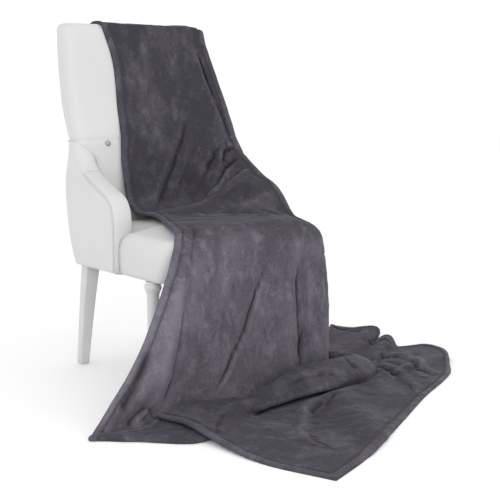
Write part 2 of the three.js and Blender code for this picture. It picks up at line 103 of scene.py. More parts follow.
# Lines across the blanket from the hem behind the back to the hem on the floor. Each has its
# kind, how far its rounding reaches, rows in the rounding, rows to the next line, and then the
# height, or y and height, or rows of across, x, y, z.
STATIONS = [
    ("rear hem", "level", 0, 1, 8, (349, 806)),
    ("rear top", "level", 14, 5, 3, (349, None)),
    ("front top", "level", 16, 5, 10, (288, None)),
    ("upper back", "back", 30, 3, 20, 947),
    ("middle back", "back", 40, 3, 20, 800),
    ("lower back", "back", 30, 3, 22, 664),
    ("leaves back", "rows", 34, 4, 8, [
        (0, -124, 146, 512), (0.35, 10, 155, 518), (0.6, 108, 156, 524), (0.8, 212, 118, 606),
        (1, 292, 66, 624)]),
    ("seat crease", "rows", 12, 4, 9, [
        (0, -142, 56, 484), (0.35, 22, 74, 485), (0.6, 112, 112, 489), (0.8, 220, 52, 578),
        (1, 294, 0, 585)]),
    ("roll top", "rows", 22, 4, 10, [
        (0, -130, 2, 489), (0.35, 10, 14, 506), (0.6, 108, 30, 518), (0.8, 222, -28, 560),
        (1, 295, -84, 550)]),
    ("roll foot", "rows", 14, 3, 34, [
        (0, -140, -66, 479), (0.35, -12, -55, 477), (0.6, 92, -90, 477), (0.8, 210, -138, 483),
        (1, 291, -155, 468)]),
    ("seat front", "rows", 26, 6, 4, [
        (0, -236, -290, 474), (0.3, -80, -298, 480), (0.6, 70, -300, 481),
        (0.8, 188, -298, 476), (1, 288, -262, 446)]),
    ("front top edge", "rows", 20, 3, 14, [
        (0, -262, -324, 440), (0.3, -98, -327, 441), (0.6, 62, -327, 441),
        (0.8, 192, -326, 438), (1, 285, -298, 424)]),
    ("upper panel", "rows", 60, 4, 20, [
        (0, -306, -336, 330), (0.1, -252, -352, 330), (0.3, -112, -340, 330),
        (0.6, 60, -334, 330), (0.85, 215, -336, 330), (1, 292, -306, 330)]),
    ("lower panel", "rows", 60, 4, 20, [
        (0, -408, -368, 160), (0.12, -322, -392, 160), (0.3, -185, -362, 160),
        (0.6, 40, -346, 160), (0.85, 232, -338, 160), (1, 316, -302, 160)]),
    ("panel foot", "rows", 24, 5, 12, [
        (0, -566, -424, 20), (0.05, -512, -414, 4), (0.12, -440, -398, 3),
        (0.22, -340, -378, 0), (0.35, -230, -368, 0), (0.5, -95, -376, 0),
        (0.75, 122, -350, 0), (0.9, 270, -326, 0), (0.96, 318, -296, 0), (1, 322, -246, 0)]),
    ("front fold", "rows", 5, 4, 1, [
        (0, -592, -436, 0), (0.12, -486, -534, 0), (0.27, -372, -618, 0),
        (0.4, -190, -518, 0), (0.5, -90, -470, 0), (0.6, 15, -432, 0), (0.8, 204, -388, 0),
        (0.9, 360, -352, 0), (0.96, 408, -262, 0), (1, 404, -160, 0)]),
    ("fold return", "rows", 5, 4, 3, [
        (0, -590, -434, 12.5), (0.12, -484, -532, 12.5), (0.27, -370, -616, 12.5),
        (0.4, -189, -516, 12.5), (0.5, -90, -468, 12.5), (0.6, 15, -430, 12.5),
        (0.8, 204, -386, 12.5), (0.9, 359, -350, 12.5), (0.96, 406, -262, 12.5),
        (1, 402, -160, 12.5)]),
    ("return flat", "rows", 16, 3, 4, [
        (0, -462, -482, 12.5), (0.12, -378, -532, 13), (0.27, -288, -558, 14),
        (0.4, -174, -484, 17), (0.5, -86, -463, 22), (0.6, 15, -427, 26),
        (0.8, 203, -383, 28), (0.9, 356, -346, 25), (0.96, 402, -261, 22),
        (1, 398, -160, 16)]),
    ("under ridge", "rows", 5, 3, 3, [
        (0, -388, -430, 14), (0.1, -312, -404, 17), (0.2, -256, -402, 22),
        (0.32, -200, -424, 27), (0.45, -124, -462, 32), (0.55, -38, -444, 40),
        (0.68, 94, -388, 46), (0.78, 174, -380, 46), (0.86, 290, -360, 42),
        (0.92, 376, -332, 36), (0.96, 398, -260, 30), (1, 390, -160, 20)]),
    ("ridge", "rows", 10, 5, 6, [
        (0, -392, -427, 24), (0.1, -314, -401, 28), (0.2, -257, -398, 34),
        (0.32, -201, -424, 39), (0.45, -125, -470, 46), (0.55, -40, -456, 60),
        (0.68, 92, -400, 72), (0.78, 172, -392, 76), (0.86, 290, -374, 72),
        (0.92, 386, -345, 58), (0.96, 412, -262, 46), (1, 400, -150, 30)]),
    ("roll front", "rows", 16, 5, 6, [
        (0, -372, -520, 26), (0.15, -282, -500, 29), (0.3, -222, -522, 30),
        (0.45, -140, -532, 30), (0.55, -40, -512, 34), (0.68, 120, -492, 34),
        (0.8, 272, -484, 34), (0.88, 376, -440, 32), (0.94, 452, -350, 28),
        (0.97, 478, -246, 22), (1, 462, -92, 16)]),
    ("roll shadow", "rows", 10, 3, 34, [
        (0, -370, -616, 20), (0.15, -275, -590, 18), (0.3, -205, -556, 12),
        (0.45, -132, -514, 4), (0.55, -32, -492, 4), (0.68, 118, -470, 4),
        (0.8, 262, -462, 4), (0.88, 368, -436, 6), (0.94, 440, -346, 4), (0.97, 462, -246, 4),
        (1, 456, -90, 4)]),
    ("train", "rows", 60, 4, 38, [
        (0, -362, -822, 0), (0.13, -218, -768, 0), (0.37, -22, -664, 0),
        (0.58, 192, -572, 0), (0.8, 436, -496, 0), (0.85, 512, -440, 5),
        (0.885, 566, -374, 14), (0.91, 548, -300, 7), (0.935, 580, -244, 13),
        (0.955, 578, -186, 7), (0.975, 620, -110, 15), (1, 612, 62, 10)]),
    ("outer hem", "rows", 0, 1, 0, [
        (0, -290, -1011, 0), (0.13, -132, -944, 0), (0.37, 127, -797, 0),
        (0.58, 364, -658, 0), (0.8, 608, -528, 0), (0.85, 700, -438, 4),
        (0.885, 762, -340, 26), (0.91, 692, -232, 6), (0.935, 728, -142, 24),
        (0.955, 718, -88, 8), (0.972, 780, -36, 30), (0.985, 714, 40, 20),
        (1, 738, 165, 14)]),
]
NUMBER = {row[0]: i for i, row in enumerate(STATIONS)}

# Soft folds of the solid: from (line, across), to (line, across), width across, height
FOLDS = [
    ("upper back", 0.55, "seat crease", 0.16, 0.05, 9),
    ("middle back", 0.7, "seat crease", 0.28, 0.06, 8),
    ("lower back", 0.86, "roll top", 0.62, 0.05, 12),
    ("lower back", 0.95, "roll foot", 0.8, 0.05, 10),
    ("front top edge", 0.06, "panel foot", 0.1, 0.05, 20),
    ("front top edge", 0.44, "panel foot", 0.3, 0.035, -8),
    ("front top edge", 0.82, "panel foot", 0.8, 0.035, -18),
    ("seat front", 0.9, "panel foot", 0.9, 0.045, 12),
    ("roll shadow", 0.78, "outer hem", 0.22, 0.09, 18),
    ("roll shadow", 0.86, "outer hem", 0.86, 0.012, 12),
    ("roll shadow", 0.9, "outer hem", 0.9, 0.01, 14),
    ("roll shadow", 0.93, "outer hem", 0.935, 0.01, 16),
    ("roll shadow", 0.97, "outer hem", 0.972, 0.01, 16),
]

# Creases of the cloth: name, depth (below 0 a ridge), half width, height of a lip on the left of
# its way (below 0 on the right), and the points of its way as line number and place across
CREASES = [
    ("strip along the right hem", 7, 6, -6, [
        (2.55, 0.88), (3.24, 0.885), (3.69, 0.895), (4.35, 0.925), (5.17, 0.94)]),
    ("back ridge", -7, 13, 0, [
        (4.32, 0.593), (4.76, 0.493), (5.33, 0.396), (5.69, 0.332), (6.83, 0.108)]),
    ("back trough", 7, 11, 0, [
        (4.19, 0.647), (4.77, 0.54), (5.3, 0.467), (5.9, 0.363), (7.1, 0.108)]),
    ("second back ridge", -5, 12, 0, [(4.57, 0.656), (5.08, 0.595), (5.57, 0.524), (6.38, 0.348)]),
    ("short crease", 7, 7, -5, [(4.84, 0.873), (5.45, 0.778), (5.69, 0.727), (6.07, 0.694)]),
    ("arm crease, upper", 10, 6, -8, [(5.11, 0.962), (5.21, 0.901), (5.48, 0.844), (5.89, 0.802)]),
    ("arm crease, middle", 11, 7, 8, [
        (5.55, 0.96), (6.09, 0.849), (6.71, 0.749), (7.04, 0.699), (7.3, 0.62)]),
    ("arm crease, lower", 6, 6, 7, [(6.52, 0.951), (6.79, 0.841), (7.14, 0.759), (7.31, 0.719)]),
    ("seat and back crease", 6, 7, 0, [
        (7.3, 0.02), (7.1, 0.2), (7.0, 0.4), (7.0, 0.55), (7.1, 0.66)]),
    ("roll highlight", -6, 12, 0, [(8.52, 0.637), (8.69, 0.687), (8.59, 0.759), (8.41, 0.881)]),
    ("under the roll", 10, 7, -5, [
        (8.59, 0.223), (8.72, 0.407), (8.96, 0.519), (8.92, 0.666), (9.15, 0.736), (9.42, 0.873)]),
    ("lens fold", 6, 6, 5, [(8.88, 0.752), (9.05, 0.795), (9.35, 0.836)]),
    ("seat line", -3, 8, 0, [(9.6, 0.083), (9.77, 0.23), (10.09, 0.427)]),
    ("second hem line", 4, 6, 0, [(9.46, 0.12), (10.15, 0.12), (10.94, 0.11), (11.63, 0.123)]),
    ("broad ridge", -8, 18, 0, [
        (11.37, 0.065), (12.16, 0.08), (12.78, 0.097), (13.41, 0.135), (13.88, 0.185)]),
    ("ridge edge", 9, 9, -4, [
        (12.17, 0.11), (12.66, 0.14), (13.1, 0.159), (13.52, 0.191), (13.84, 0.207)]),
    ("diagonal crease", 10, 6, 6, [
        (11.32, 0.587), (12.22, 0.523), (12.58, 0.49), (12.97, 0.466), (13.39, 0.439),
        (13.59, 0.426), (13.85, 0.406)]),
    ("deep trough", 14, 11, 0, [(11.64, 0.76), (12.47, 0.762), (13.12, 0.778), (13.65, 0.799)]),
    ("dark slit", 14, 6, 0, [(13.0, 0.804), (13.44, 0.801), (13.78, 0.8)]),
    ("right ridge", -10, 14, 0, [(11.68, 0.84), (12.42, 0.828), (13.16, 0.82)]),
    ("left valley", 8, 20, 0, [(12.76, 0.028), (13.36, 0.039), (13.82, 0.045)]),
    ("foot fold, upper", 8, 7, 7, [(13.73, 0.135), (13.8, 0.114), (13.94, 0.1), (14.13, 0.094)]),
    ("foot fold, side", 6, 6, 0, [(13.74, 0.133), (13.92, 0.174), (14.1, 0.2)]),
    ("flap streak", -7, 8, 0, [(19.56, 0.491), (19.63, 0.379), (20.17, 0.234), (21.01, 0.02)]),
    ("second flap streak", 6, 7, 0, [(20.11, 0.283), (20.75, 0.117), (21.2, 0.03)]),
    ("flap wave", -5, 14, 0, [(19.37, 0.14), (20.12, 0.072), (20.92, 0.017)]),
    ("light band on the roll", 6, 8, 5, [
        (19.58, 0.585), (19.49, 0.665), (19.56, 0.741), (19.89, 0.776)]),
    ("curved crease", 16, 12, -11, [
        (21.39, 0.616), (21.58, 0.526), (21.68, 0.453), (21.87, 0.337), (22.11, 0.229),
        (22.36, 0.17), (22.58, 0.145)]),
    ("line under the big roll", 10, 9, 7, [
        (20.89, 0.401), (21.0, 0.463), (20.95, 0.556), (20.85, 0.633), (20.9, 0.706),
        (20.9, 0.76)]),
    ("hollow at the roll's end", 8, 6, 5, [(19.08, 0.87), (19.41, 0.85), (19.75, 0.829)]),
    ("second curved crease", 7, 12, 0, [(21.56, 0.621), (21.72, 0.502), (21.9, 0.366)]),
    ("sweep of the train", 6, 12, 4, [(21.99, 0.182), (22.33, 0.151), (22.67, 0.145)]),
    ("pleat nearest the chair", 5, 7, 4, [(22.86, 0.997), (22.76, 0.986), (22.5, 0.976)]),
    ("pleat by the hem's end", 6, 7, 5, [(22.1, 0.976), (22.49, 0.954), (22.71, 0.92)]),
    ("long pleat", 10, 12, 7, [(22.0, 0.939), (22.06, 0.896), (22.27, 0.852), (22.85, 0.77)]),
    ("second long pleat", 7, 12, 5, [(21.58, 0.888), (22.07, 0.847), (22.79, 0.745)]),
    ("third long pleat", 10, 12, 7, [(21.3, 0.914), (21.65, 0.846), (22.3, 0.744), (22.85, 0.587)]),
    ("train line", 4, 8, 3, [(21.61, 0.667), (21.94, 0.622), (22.25, 0.598)]),
]

# Half the cloth's thickness at distances from its edge: a puffed hem, its seam, the plain cloth
HEM_PROFILE = [
    (0, 0.7), (1.5, 2.9), (4, 4.6), (9, 5.8), (14, 5.7), (19, 4.4), (23, 2.5), (25.5, 0.9),
    (28, 2.1), (32, 2.9), (42, 2.1), (60, 1.75),
]
HEM_COLUMNS = [0, 1.5, 4, 9, 14, 19, 23, 25.5, 28, 32, 42]
HEM_SEAM = 25.5

# Painted light and shade on the nap: by line number, darker on the back, seat and floor and lighter on
# the hanging panel, for how the brushed pile catches the light; by distance from the edge, a painted
# highlight on the hem's puffed crest and painted shade in its seam
NAP_LIGHT_AND_SHADE = [(0, -0.48), (5.5, -0.48), (7.5, -0.6), (9.7, -0.6), (10.3, -0.05), (11, 0.4),
            (12, 0.68), (13.7, 0.74), (14.4, 0.15), (15.5, -0.4), (19, -0.5), (23, -0.42)]
HEM_HIGHLIGHT_AND_SHADE = [(0, 0.2), (5, 0.62), (16, 0.52), (22, 0), (25.5, -0.9), (29, -0.2), (36, 0)]

# Places on the nap's colour ramp, and how many times the fleece's colour each of them is
NAP_COLOURS = [(0.0, 0.58), (0.36, 1.0), (1.0, 2.2)]

# Painted shade in the creases' bottoms: the depth of crease whose bottom is darkest, and how many times
# the fleece's colour that shade is
CREASE_SHADE_DEPTH = 10.0
CREASE_SHADE_COLOUR = 0.13

# A crease across its way, in its half widths: the place and half width of its lip, and the half width
# of its bottom's line of painted shade. Each end fades over a share of its length.
LIP_AT, LIP_WIDTH, BOTTOM_WIDTH = 1.7, 1.2, 0.6
CREASE_FADE = 0.2

# Painted highlight on lips and ridges: height of a ridge whose nap is painted lighter by 1
RIDGE_HIGHLIGHT = 12

# Swell between the creases: seed, shortest wave, longest wave, how many waves, height
SWELLS = [(7, 70, 190, 14, 1.1), (11, 28, 60, 16, 0.35)]

# Columns lie closer on the right, where the pleats are: shares of the columns and of the width
# on the left and the right of the change
COLUMN_SHARES, WIDTH_SHARES = (0.62, 0.38), (0.8, 0.2)

# Distances from the edge over which the hem's stripes of pucker rise, and over which they fade
PUCKER_RISE, PUCKER_FADE = (1, 5), (22, 17)

# Stitches in metres, and how far in millimetres they stand off the cloth and the floor
STITCH = {"Pitch": 0.006, "Length": 0.0046, "Radius": 0.0007}
STITCH_PROUD, STITCH_LIFT = 0.25, 0.4

# Room between cloth and chair beyond the clearance, and how far inside the arm and in front of it
# the cloth starts to be lifted. It is kept in front of the back from a height up, where it is no
# deeper in than a reach, over the back's half width.
SPARE = 1.5
ARM_LEAD, FRONT_LEAD = 14, 6
BACK_FROM, BACK_REACH, BACK_HALF = 560, 18, 262

# The underside keeps all its faces within this distance of the edge; share of all faces kept
UNDERSIDE_BORDER = 45.0
UNDERSIDE_RATIO = 0.62


# Numbers and meshes


def read_rows(rows, at):
    """Smooth values at positions, from rows of position and values that rise without overshoot."""
    table = np.array(rows, float)
    x, y = table[:, 0], table[:, 1:]
    chord = np.diff(y, axis=0) / np.diff(x)[:, None]
    before, after = chord[:-1], chord[1:]
    same_way = before * after > 0
    total = np.where(same_way, before + after, 1.0)
    inner = np.where(same_way, 2 * before * after / total, 0.0)
    slope = np.vstack([chord[:1], inner, chord[-1:]])
    at = np.clip(np.atleast_1d(np.asarray(at, float)), x[0], x[-1])
    i = np.clip(np.searchsorted(x, at, side="left") - 1, 0, len(x) - 2)
    span = (x[i + 1] - x[i])[:, None]
    t = (at - x[i])[:, None] / span
    ends = (1 - t) * slope[i] - t * slope[i + 1]
    return y[i] + (y[i + 1] - y[i]) * t * t * (3 - 2 * t) + t * (1 - t) * ends * span


def read_over(rows, at):
    """The first value of rows at every position in an array."""
    return read_rows(rows, at.ravel())[:, 0].reshape(at.shape)


def smooth(start, end, value):
    t = np.clip((np.asarray(value, float) - start) / (end - start), 0, 1)
    return t * t * (3 - 2 * t)


def back_rear(z):
    return read_rows(BACK_PROFILE, z)[:, 0]


def back_front(z):
    return read_rows(BACK_PROFILE, z)[:, 1]


def add_object(name, data):
    made = bpy.data.objects.new(name, data)
    bpy.context.scene.collection.objects.link(made)
    return made


def new_mesh(name, points, faces, paint, uv=None, sharp=None):
    """A smooth-shaded piece from points in the chair's millimetres."""
    mesh = bpy.data.meshes.new(name)
    placed = np.asarray(points, float) * MM + PLACE
    mesh.from_pydata(placed.tolist(), [], [list(f) for f in faces])
    mesh.polygons.foreach_set("use_smooth", [True] * len(mesh.polygons))
    if uv is not None:
        layer = mesh.uv_layers.new(name="cloth")
        loops = np.zeros(len(mesh.loops), int)
        mesh.loops.foreach_get("vertex_index", loops)
        layer.data.foreach_set("uv", np.asarray(uv, float)[loops].ravel())
    mesh.update()
    mesh.validate()
    piece = add_object(name, mesh)
    mesh.materials.append(paint)
    if sharp is not None:
        mark_sharp(mesh, sharp)
    return piece


def mark_sharp(mesh, degrees):
    work = bmesh.new()
    work.from_mesh(mesh)
    for edge in work.edges:
        edge.smooth = len(edge.link_faces) == 2 and edge.calc_face_angle(0) < math.radians(degrees)
    work.to_mesh(mesh)
    work.free()


def apply_modifiers(piece):
    """The piece's evaluated shape becomes its mesh."""
    bpy.context.view_layer.update()
    graph = bpy.context.evaluated_depsgraph_get()
    mesh = bpy.data.meshes.new_from_object(piece.evaluated_get(graph))
    old = piece.data
    piece.modifiers.clear()
    piece.data = mesh
    mesh.name = piece.name
    bpy.data.meshes.remove(old)


def finish_piece(piece, slot, *nodes):
    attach(piece, "root")
    if nodes:
        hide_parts(*nodes)


def ring_faces(rings, count):
    """Quads between closed rings of equal length."""
    faces = []
    for r in range(rings - 1):
        for i in range(count):
            j = (i + 1) % count
            a, b = r * count + i, r * count + j
            faces.append((a, b, b + count, a + count))
    return faces


def circle(radius, segments):
    turns = [math.tau * i / segments for i in range(segments)]
    return [(radius * math.cos(turn), radius * math.sin(turn)) for turn in turns]


# Nodes and their maths


class Socket:
    """A node's output: arithmetic on it adds Math nodes."""

    def __init__(self, nodes, socket):
        self.nodes, self.socket = nodes, socket

    def math(self, operation, *terms):
        return self.nodes.add("ShaderNodeMath", {"operation": operation}, dict(enumerate(terms)))[0]

    def __add__(self, other):
        return self.math("ADD", self, other)

    __radd__ = __add__

    def __mul__(self, other):
        return self.math("MULTIPLY", self, other)

    __rmul__ = __mul__

    def __rsub__(self, other):
        return self.math("SUBTRACT", other, self)


class Added:
    """The outputs of a node that was just added."""

    def __init__(self, nodes, node):
        self.nodes, self.node = nodes, node

    def __getitem__(self, key):
        return Socket(self.nodes, self.node.outputs[key])


class Nodes:
    """A node tree whose nodes are added by one method."""

    def __init__(self, tree):
        self.tree = tree

    def set_inputs(self, node, sockets):
        for key, value in sockets.items():
            if isinstance(value, Socket):
                self.tree.links.new(value.socket, node.inputs[key])
            else:
                node.inputs[key].default_value = value

    def add(self, kind, settings=None, sockets=None):
        node = self.tree.nodes.new(kind)
        for key, value in (settings or {}).items():
            if key == "stops":
                ramp = node.color_ramp.elements
                while len(ramp) < len(value):
                    ramp.new(0.5)
                for element, (position, colour) in zip(ramp, value):
                    element.position = position
                    element.color = colour
            else:
                setattr(node, key, value)
        self.set_inputs(node, sockets or {})
        return Added(self, node)


class Paint(Nodes):
    """A material, with the nodes that its looks need most."""

    def __init__(self, name):
        self.material = bpy.data.materials.new(name)
        self.material.use_nodes = True
        super().__init__(self.material.node_tree)
        self.shader = self.tree.nodes["Principled BSDF"]

    def surface(self, **sockets):
        self.set_inputs(self.shader, {k.replace("_", " "): v for k, v in sockets.items()})

    def noise(self, place, scale, detail=2.0, roughness=0.5, distortion=0.0):
        sockets = {"Vector": place, "Scale": scale, "Detail": detail, "Roughness": roughness,
                   "Distortion": distortion}
        return self.add("ShaderNodeTexNoise", {}, sockets)["Fac"]

    def stretch(self, place, amounts):
        return self.add("ShaderNodeMapping", {"vector_type": "POINT"},
                        {"Vector": place, "Scale": amounts})["Vector"]

    def step(self, value, low, high):
        """0 below low, 1 above high, smooth between."""
        return self.add("ShaderNodeMapRange", {"interpolation_type": "SMOOTHSTEP"},
                        {"Value": value, "From Min": low, "From Max": high})["Result"]

    def blend(self, factor, first, second):
        return self.add("ShaderNodeMix", {"data_type": "RGBA"},
                        {0: factor, 6: first, 7: second})[2]

    def bump(self, height, strength, distance, under=None):
        sockets = {"Height": height, "Strength": strength, "Distance": distance}
        if under is not None:
            sockets["Normal"] = under
        return self.add("ShaderNodeBump", {}, sockets)["Normal"]


def colour(values):
    return (values[0], values[1], values[2], 1.0)


def shade(values, factor):
    return colour([v * factor for v in values])


def fleece_paint(settings):
    """Brushed pile: soft patches where the nap lies over, painted light and shade from the nap
    attribute, painted shade in the creases, and stripes of pucker in the hem.
    """
    paint = Paint("Grey plush fleece")
    place = paint.add("ShaderNodeTexCoord")["Object"]
    cloth = paint.add("ShaderNodeUVMap", {"uv_map": "cloth"})["UV"]
    nap = paint.add("ShaderNodeAttribute", {"attribute_name": "nap"})["Fac"]
    swept = paint.stretch(place, (1.0, 1.0, 0.62))
    broad = paint.noise(swept, 5.5, 4.0, 0.6, 0.35)
    brushed = paint.noise(swept, 22.0, 5.0, 0.66, 0.5)
    flecks = paint.noise(place, 130.0, 3.0, 0.65)
    pile = paint.noise(place, 700.0, 2.0, 0.6)
    patches = paint.step(broad * 0.6 + brushed * 0.4, 0.43, 0.6)
    crushed = paint.step(paint.noise(swept, 34.0, 4.0, 0.7, 0.5), 0.5, 0.68)
    marks = paint.step(flecks, 0.35, 0.65)
    # The nap attribute adds painted light and shade to the random patches
    tone = patches * 0.3 + crushed * 0.26 + marks * 0.14 + pile * 0.14 + nap * 0.4
    stops = [(at, shade(settings.fleece_colour, factor)) for at, factor in NAP_COLOURS]
    ramp = paint.add("ShaderNodeValToRGB", {"stops": stops}, {"Fac": tone})["Color"]
    stripes = paint.add("ShaderNodeTexWave", {"wave_type": "BANDS", "bands_direction": "DIAGONAL"},
                        {"Vector": cloth, "Scale": 26.0, "Distortion": 2.5, "Detail": 2.0})["Fac"]
    hem = paint.add("ShaderNodeAttribute", {"attribute_name": "hem"})["Fac"]
    height = pile * 0.4 + flecks * 0.8 + brushed * 2.2 + stripes * hem * 0.8
    # Painted shade: the creases' bottoms are blended toward a dark copy of the fleece colour
    crease = paint.add("ShaderNodeAttribute", {"attribute_name": "crease"})["Fac"]
    deep = shade(settings.fleece_colour, CREASE_SHADE_COLOUR)
    paint.surface(
        Base_Color=paint.blend(crease, ramp, deep),
        Roughness=0.96 - patches * 0.1,
        Normal=paint.bump(height, 0.55, 0.0016),
        Sheen_Weight=settings.sheen,
        Sheen_Roughness=0.38,
        Sheen_Tint=(0.84, 0.81, 0.93, 1.0),
        Specular_IOR_Level=0.12,
    )
    return paint.material


def leather_paint(settings):
    paint = Paint("White upholstery")
    place = paint.add("ShaderNodeTexCoord")["Object"]
    grain = paint.add("ShaderNodeTexVoronoi", {"feature": "F1"},
                      {"Vector": place, "Scale": 620.0, "Randomness": 1.0})["Distance"]
    slack = paint.noise(place, 16.0, 3.0, 0.5, 0.3)
    tone = paint.noise(place, 5.0, 3.0)
    colours = shade(settings.cover_colour, 0.965), colour(settings.cover_colour)
    fine = paint.bump(grain, 0.22, 0.0005)
    paint.surface(
        Base_Color=paint.blend(paint.step(tone, 0.3, 0.7), *colours),
        Roughness=0.46 + slack * 0.1,
        Normal=paint.bump(slack, 0.35, 0.004, fine),
        Specular_IOR_Level=0.4,
    )
    return paint.material


def shaded_cord_paint(settings):
    paint = Paint("White cord")
    place = paint.add("ShaderNodeTexCoord")["Object"]
    tone = paint.noise(place, 90.0, 2.0)
    # Painted shade: the cord and the band's seam are darker than the upholstery, for the shadow along
    # them
    colours = shade(settings.cover_colour, 0.78), shade(settings.cover_colour, 0.9)
    paint.surface(Base_Color=paint.blend(tone, *colours), Roughness=0.5 + tone * 0.15)
    return paint.material


def button_paint(settings):
    """Grey pearl of the covered button."""
    paint = Paint("Grey pearl")
    place = paint.add("ShaderNodeTexCoord")["Object"]
    tone = paint.noise(place, 220.0, 2.0)
    colours = shade(settings.cover_colour, 0.45), shade(settings.cover_colour, 0.7)
    paint.surface(Base_Color=paint.blend(tone, *colours), Roughness=0.22 + tone * 0.12,
                  Metallic=0.25)
    return paint.material


def leg_paint(settings):
    paint = Paint("White painted wood")
    place = paint.add("ShaderNodeTexCoord")["Object"]
    along = paint.stretch(place, (1.0, 1.0, 0.06))
    brush = paint.noise(along, 300.0, 3.0, 0.6)
    tone = paint.noise(place, 14.0, 2.0)
    colours = shade(settings.leg_colour, 0.955), colour(settings.leg_colour)
    paint.surface(
        Base_Color=paint.blend(tone, *colours),
        Roughness=0.34 + brush * 0.14,
        Normal=paint.bump(brush, 0.18, 0.0004),
    )
    return paint.material


def thread_paint(settings):
    paint = Paint("Grey thread")
    place = paint.add("ShaderNodeTexCoord")["Object"]
    twist = paint.noise(place, 1400.0, 2.0)
    colours = shade(settings.fleece_colour, 0.6), shade(settings.fleece_colour, 1.1)
    paint.surface(Base_Color=paint.blend(twist, *colours), Roughness=0.7 + twist * 0.2)
    return paint.material


def floor_paint(settings):
    paint = Paint("Pale floor")
    place = paint.add("ShaderNodeTexCoord")["Object"]
    tone = paint.noise(place, 0.8, 2.0)
    colours = shade(settings.floor_colour, 0.99), colour(settings.floor_colour)
    paint.surface(Base_Color=paint.blend(tone, *colours), Roughness=0.85 + tone * 0.1)
    return paint.material


def material(name, make, settings):
    found = bpy.data.materials.get(name)
    return found or make(settings)


# Geometry nodes

# Sides of a round cord
CORD_SIDES = 10


class SeamTree(Nodes):
    """A geometry tree that lays something along its input's edges, with named sizes."""

    def __init__(self, name, sizes):
        super().__init__(bpy.data.node_groups.new(name, "GeometryNodeTree"))
        sockets = self.tree.interface
        sockets.new_socket("Geometry", in_out="INPUT", socket_type="NodeSocketGeometry")
        for label, value in sizes.items():
            made = sockets.new_socket(label, in_out="INPUT", socket_type="NodeSocketFloat")
            made.default_value = value
        sockets.new_socket("Geometry", in_out="OUTPUT", socket_type="NodeSocketGeometry")
        self.given = self.add("NodeGroupInput")

    def seam(self, step):
        """The input's edges as a curve with points at even steps."""
        curve = self.add("GeometryNodeMeshToCurve", {}, {"Mesh": self.given["Geometry"]})["Curve"]
        return self.add("GeometryNodeResampleCurve", {"mode": "LENGTH"},
                        {"Curve": curve, "Length": self.given[step]})["Curve"]

    def finish(self, shape, paint):
        real = self.add("GeometryNodeRealizeInstances", {}, {"Geometry": shape})["Geometry"]
        soft = self.add("GeometryNodeSetShadeSmooth", {}, {"Geometry": real})["Geometry"]
        painted = self.add("GeometryNodeSetMaterial", {}, {"Geometry": soft, "Material": paint})
        self.add("NodeGroupOutput", {}, {"Geometry": painted["Geometry"]})
        return self.tree


def piping_tree(sizes, paint):
    """Round cord of a given radius along the input's edges."""
    tree = SeamTree("Piping along a seam", sizes)
    profile = tree.add("GeometryNodeCurvePrimitiveCircle", {},
                       {"Resolution": CORD_SIDES, "Radius": tree.given["Radius"]})["Curve"]
    tube = tree.add("GeometryNodeCurveToMesh", {},
                    {"Curve": tree.seam("Step"), "Profile Curve": profile, "Fill Caps": True})
    return tree.finish(tube["Mesh"], paint)


def stitch_tree(sizes, paint):
    """Short stitches laid end to end along the input's edges."""
    tree = SeamTree("Stitches along a seam", sizes)
    points = tree.add("GeometryNodeCurveToPoints", {"mode": "EVALUATED"},
                      {"Curve": tree.seam("Pitch")})
    ball = tree.add("GeometryNodeMeshUVSphere", {}, {"Segments": 6, "Rings": 4, "Radius": 1.0})
    radius = tree.given["Radius"]
    size = tree.add("ShaderNodeCombineXYZ", {},
                    {"X": radius, "Y": radius, "Z": tree.given["Length"] * 0.5})["Vector"]
    copies = tree.add("GeometryNodeInstanceOnPoints", {},
                      {"Points": points["Points"], "Instance": ball["Mesh"],
                       "Rotation": points["Rotation"], "Scale": size})["Instances"]
    return tree.finish(copies, paint)


def along_paths(name, paths, tree_maker, sizes, paint):
    """A piece made by a tree along open or closed paths of points in millimetres."""
    points, edges = [], []
    for path, closed in paths:
        first = len(points)
        points.extend((np.asarray(path, float) * MM + PLACE).tolist())
        count = len(path)
        edges.extend((first + i, first + i + 1) for i in range(count - 1))
        if closed:
            edges.append((first + count - 1, first))
    mesh = bpy.data.meshes.new(name)
    mesh.from_pydata(points, edges, [])
    piece = add_object(name, mesh)
    tree = tree_maker(sizes, paint)
    modifier = piece.modifiers.new("Seam", "NODES")
    modifier.node_group = tree
    for item in tree.interface.items_tree:
        if item.in_out == "INPUT" and item.name in sizes:
            modifier[item.identifier] = sizes[item.name]
    apply_modifiers(piece)
    return piece


# Blanket


def station_points(u, settings):
    """Points of every line at places across: lines by places by x, y, z."""
    off = settings.clearance / MM + settings.thickness / MM / 2
    top = CHAIR["height"] + off
    lines = []
    for _name, kind, _bend, _arc, _steps, data in STATIONS:
        if kind == "level":
            y, z = data[0], top if data[1] is None else data[1]
            drop = CORNER_DROOP * smooth(0.88, 1, u)
            x = TOP_LEFT + TOP_WIDTH * u
            lines.append(np.stack([x, np.full_like(u, y), z - drop], axis=1))
        elif kind == "back":
            left, right, stand_off = read_rows(ON_BACK, data)[0]
            away = off + stand_off * smooth(STAND_OFF_FROM, 1, u) ** STAND_OFF_POWER
            x = left + (right - left) * u
            lines.append(np.stack([x, back_front(data)[0] - away, np.full_like(u, data)], axis=1))
        else:
            lines.append(read_rows(data, u))
    return np.array(lines)


def length_of(vectors):
    return np.linalg.norm(vectors, axis=-1, keepdims=True)


def run_along(grid, axis):
    """Distance along the cloth from the first point of every column or row."""
    steps = np.cumsum(length_of(np.diff(grid, axis=axis))[..., 0], axis=axis)
    return np.insert(steps, 0, 0.0, axis=axis)


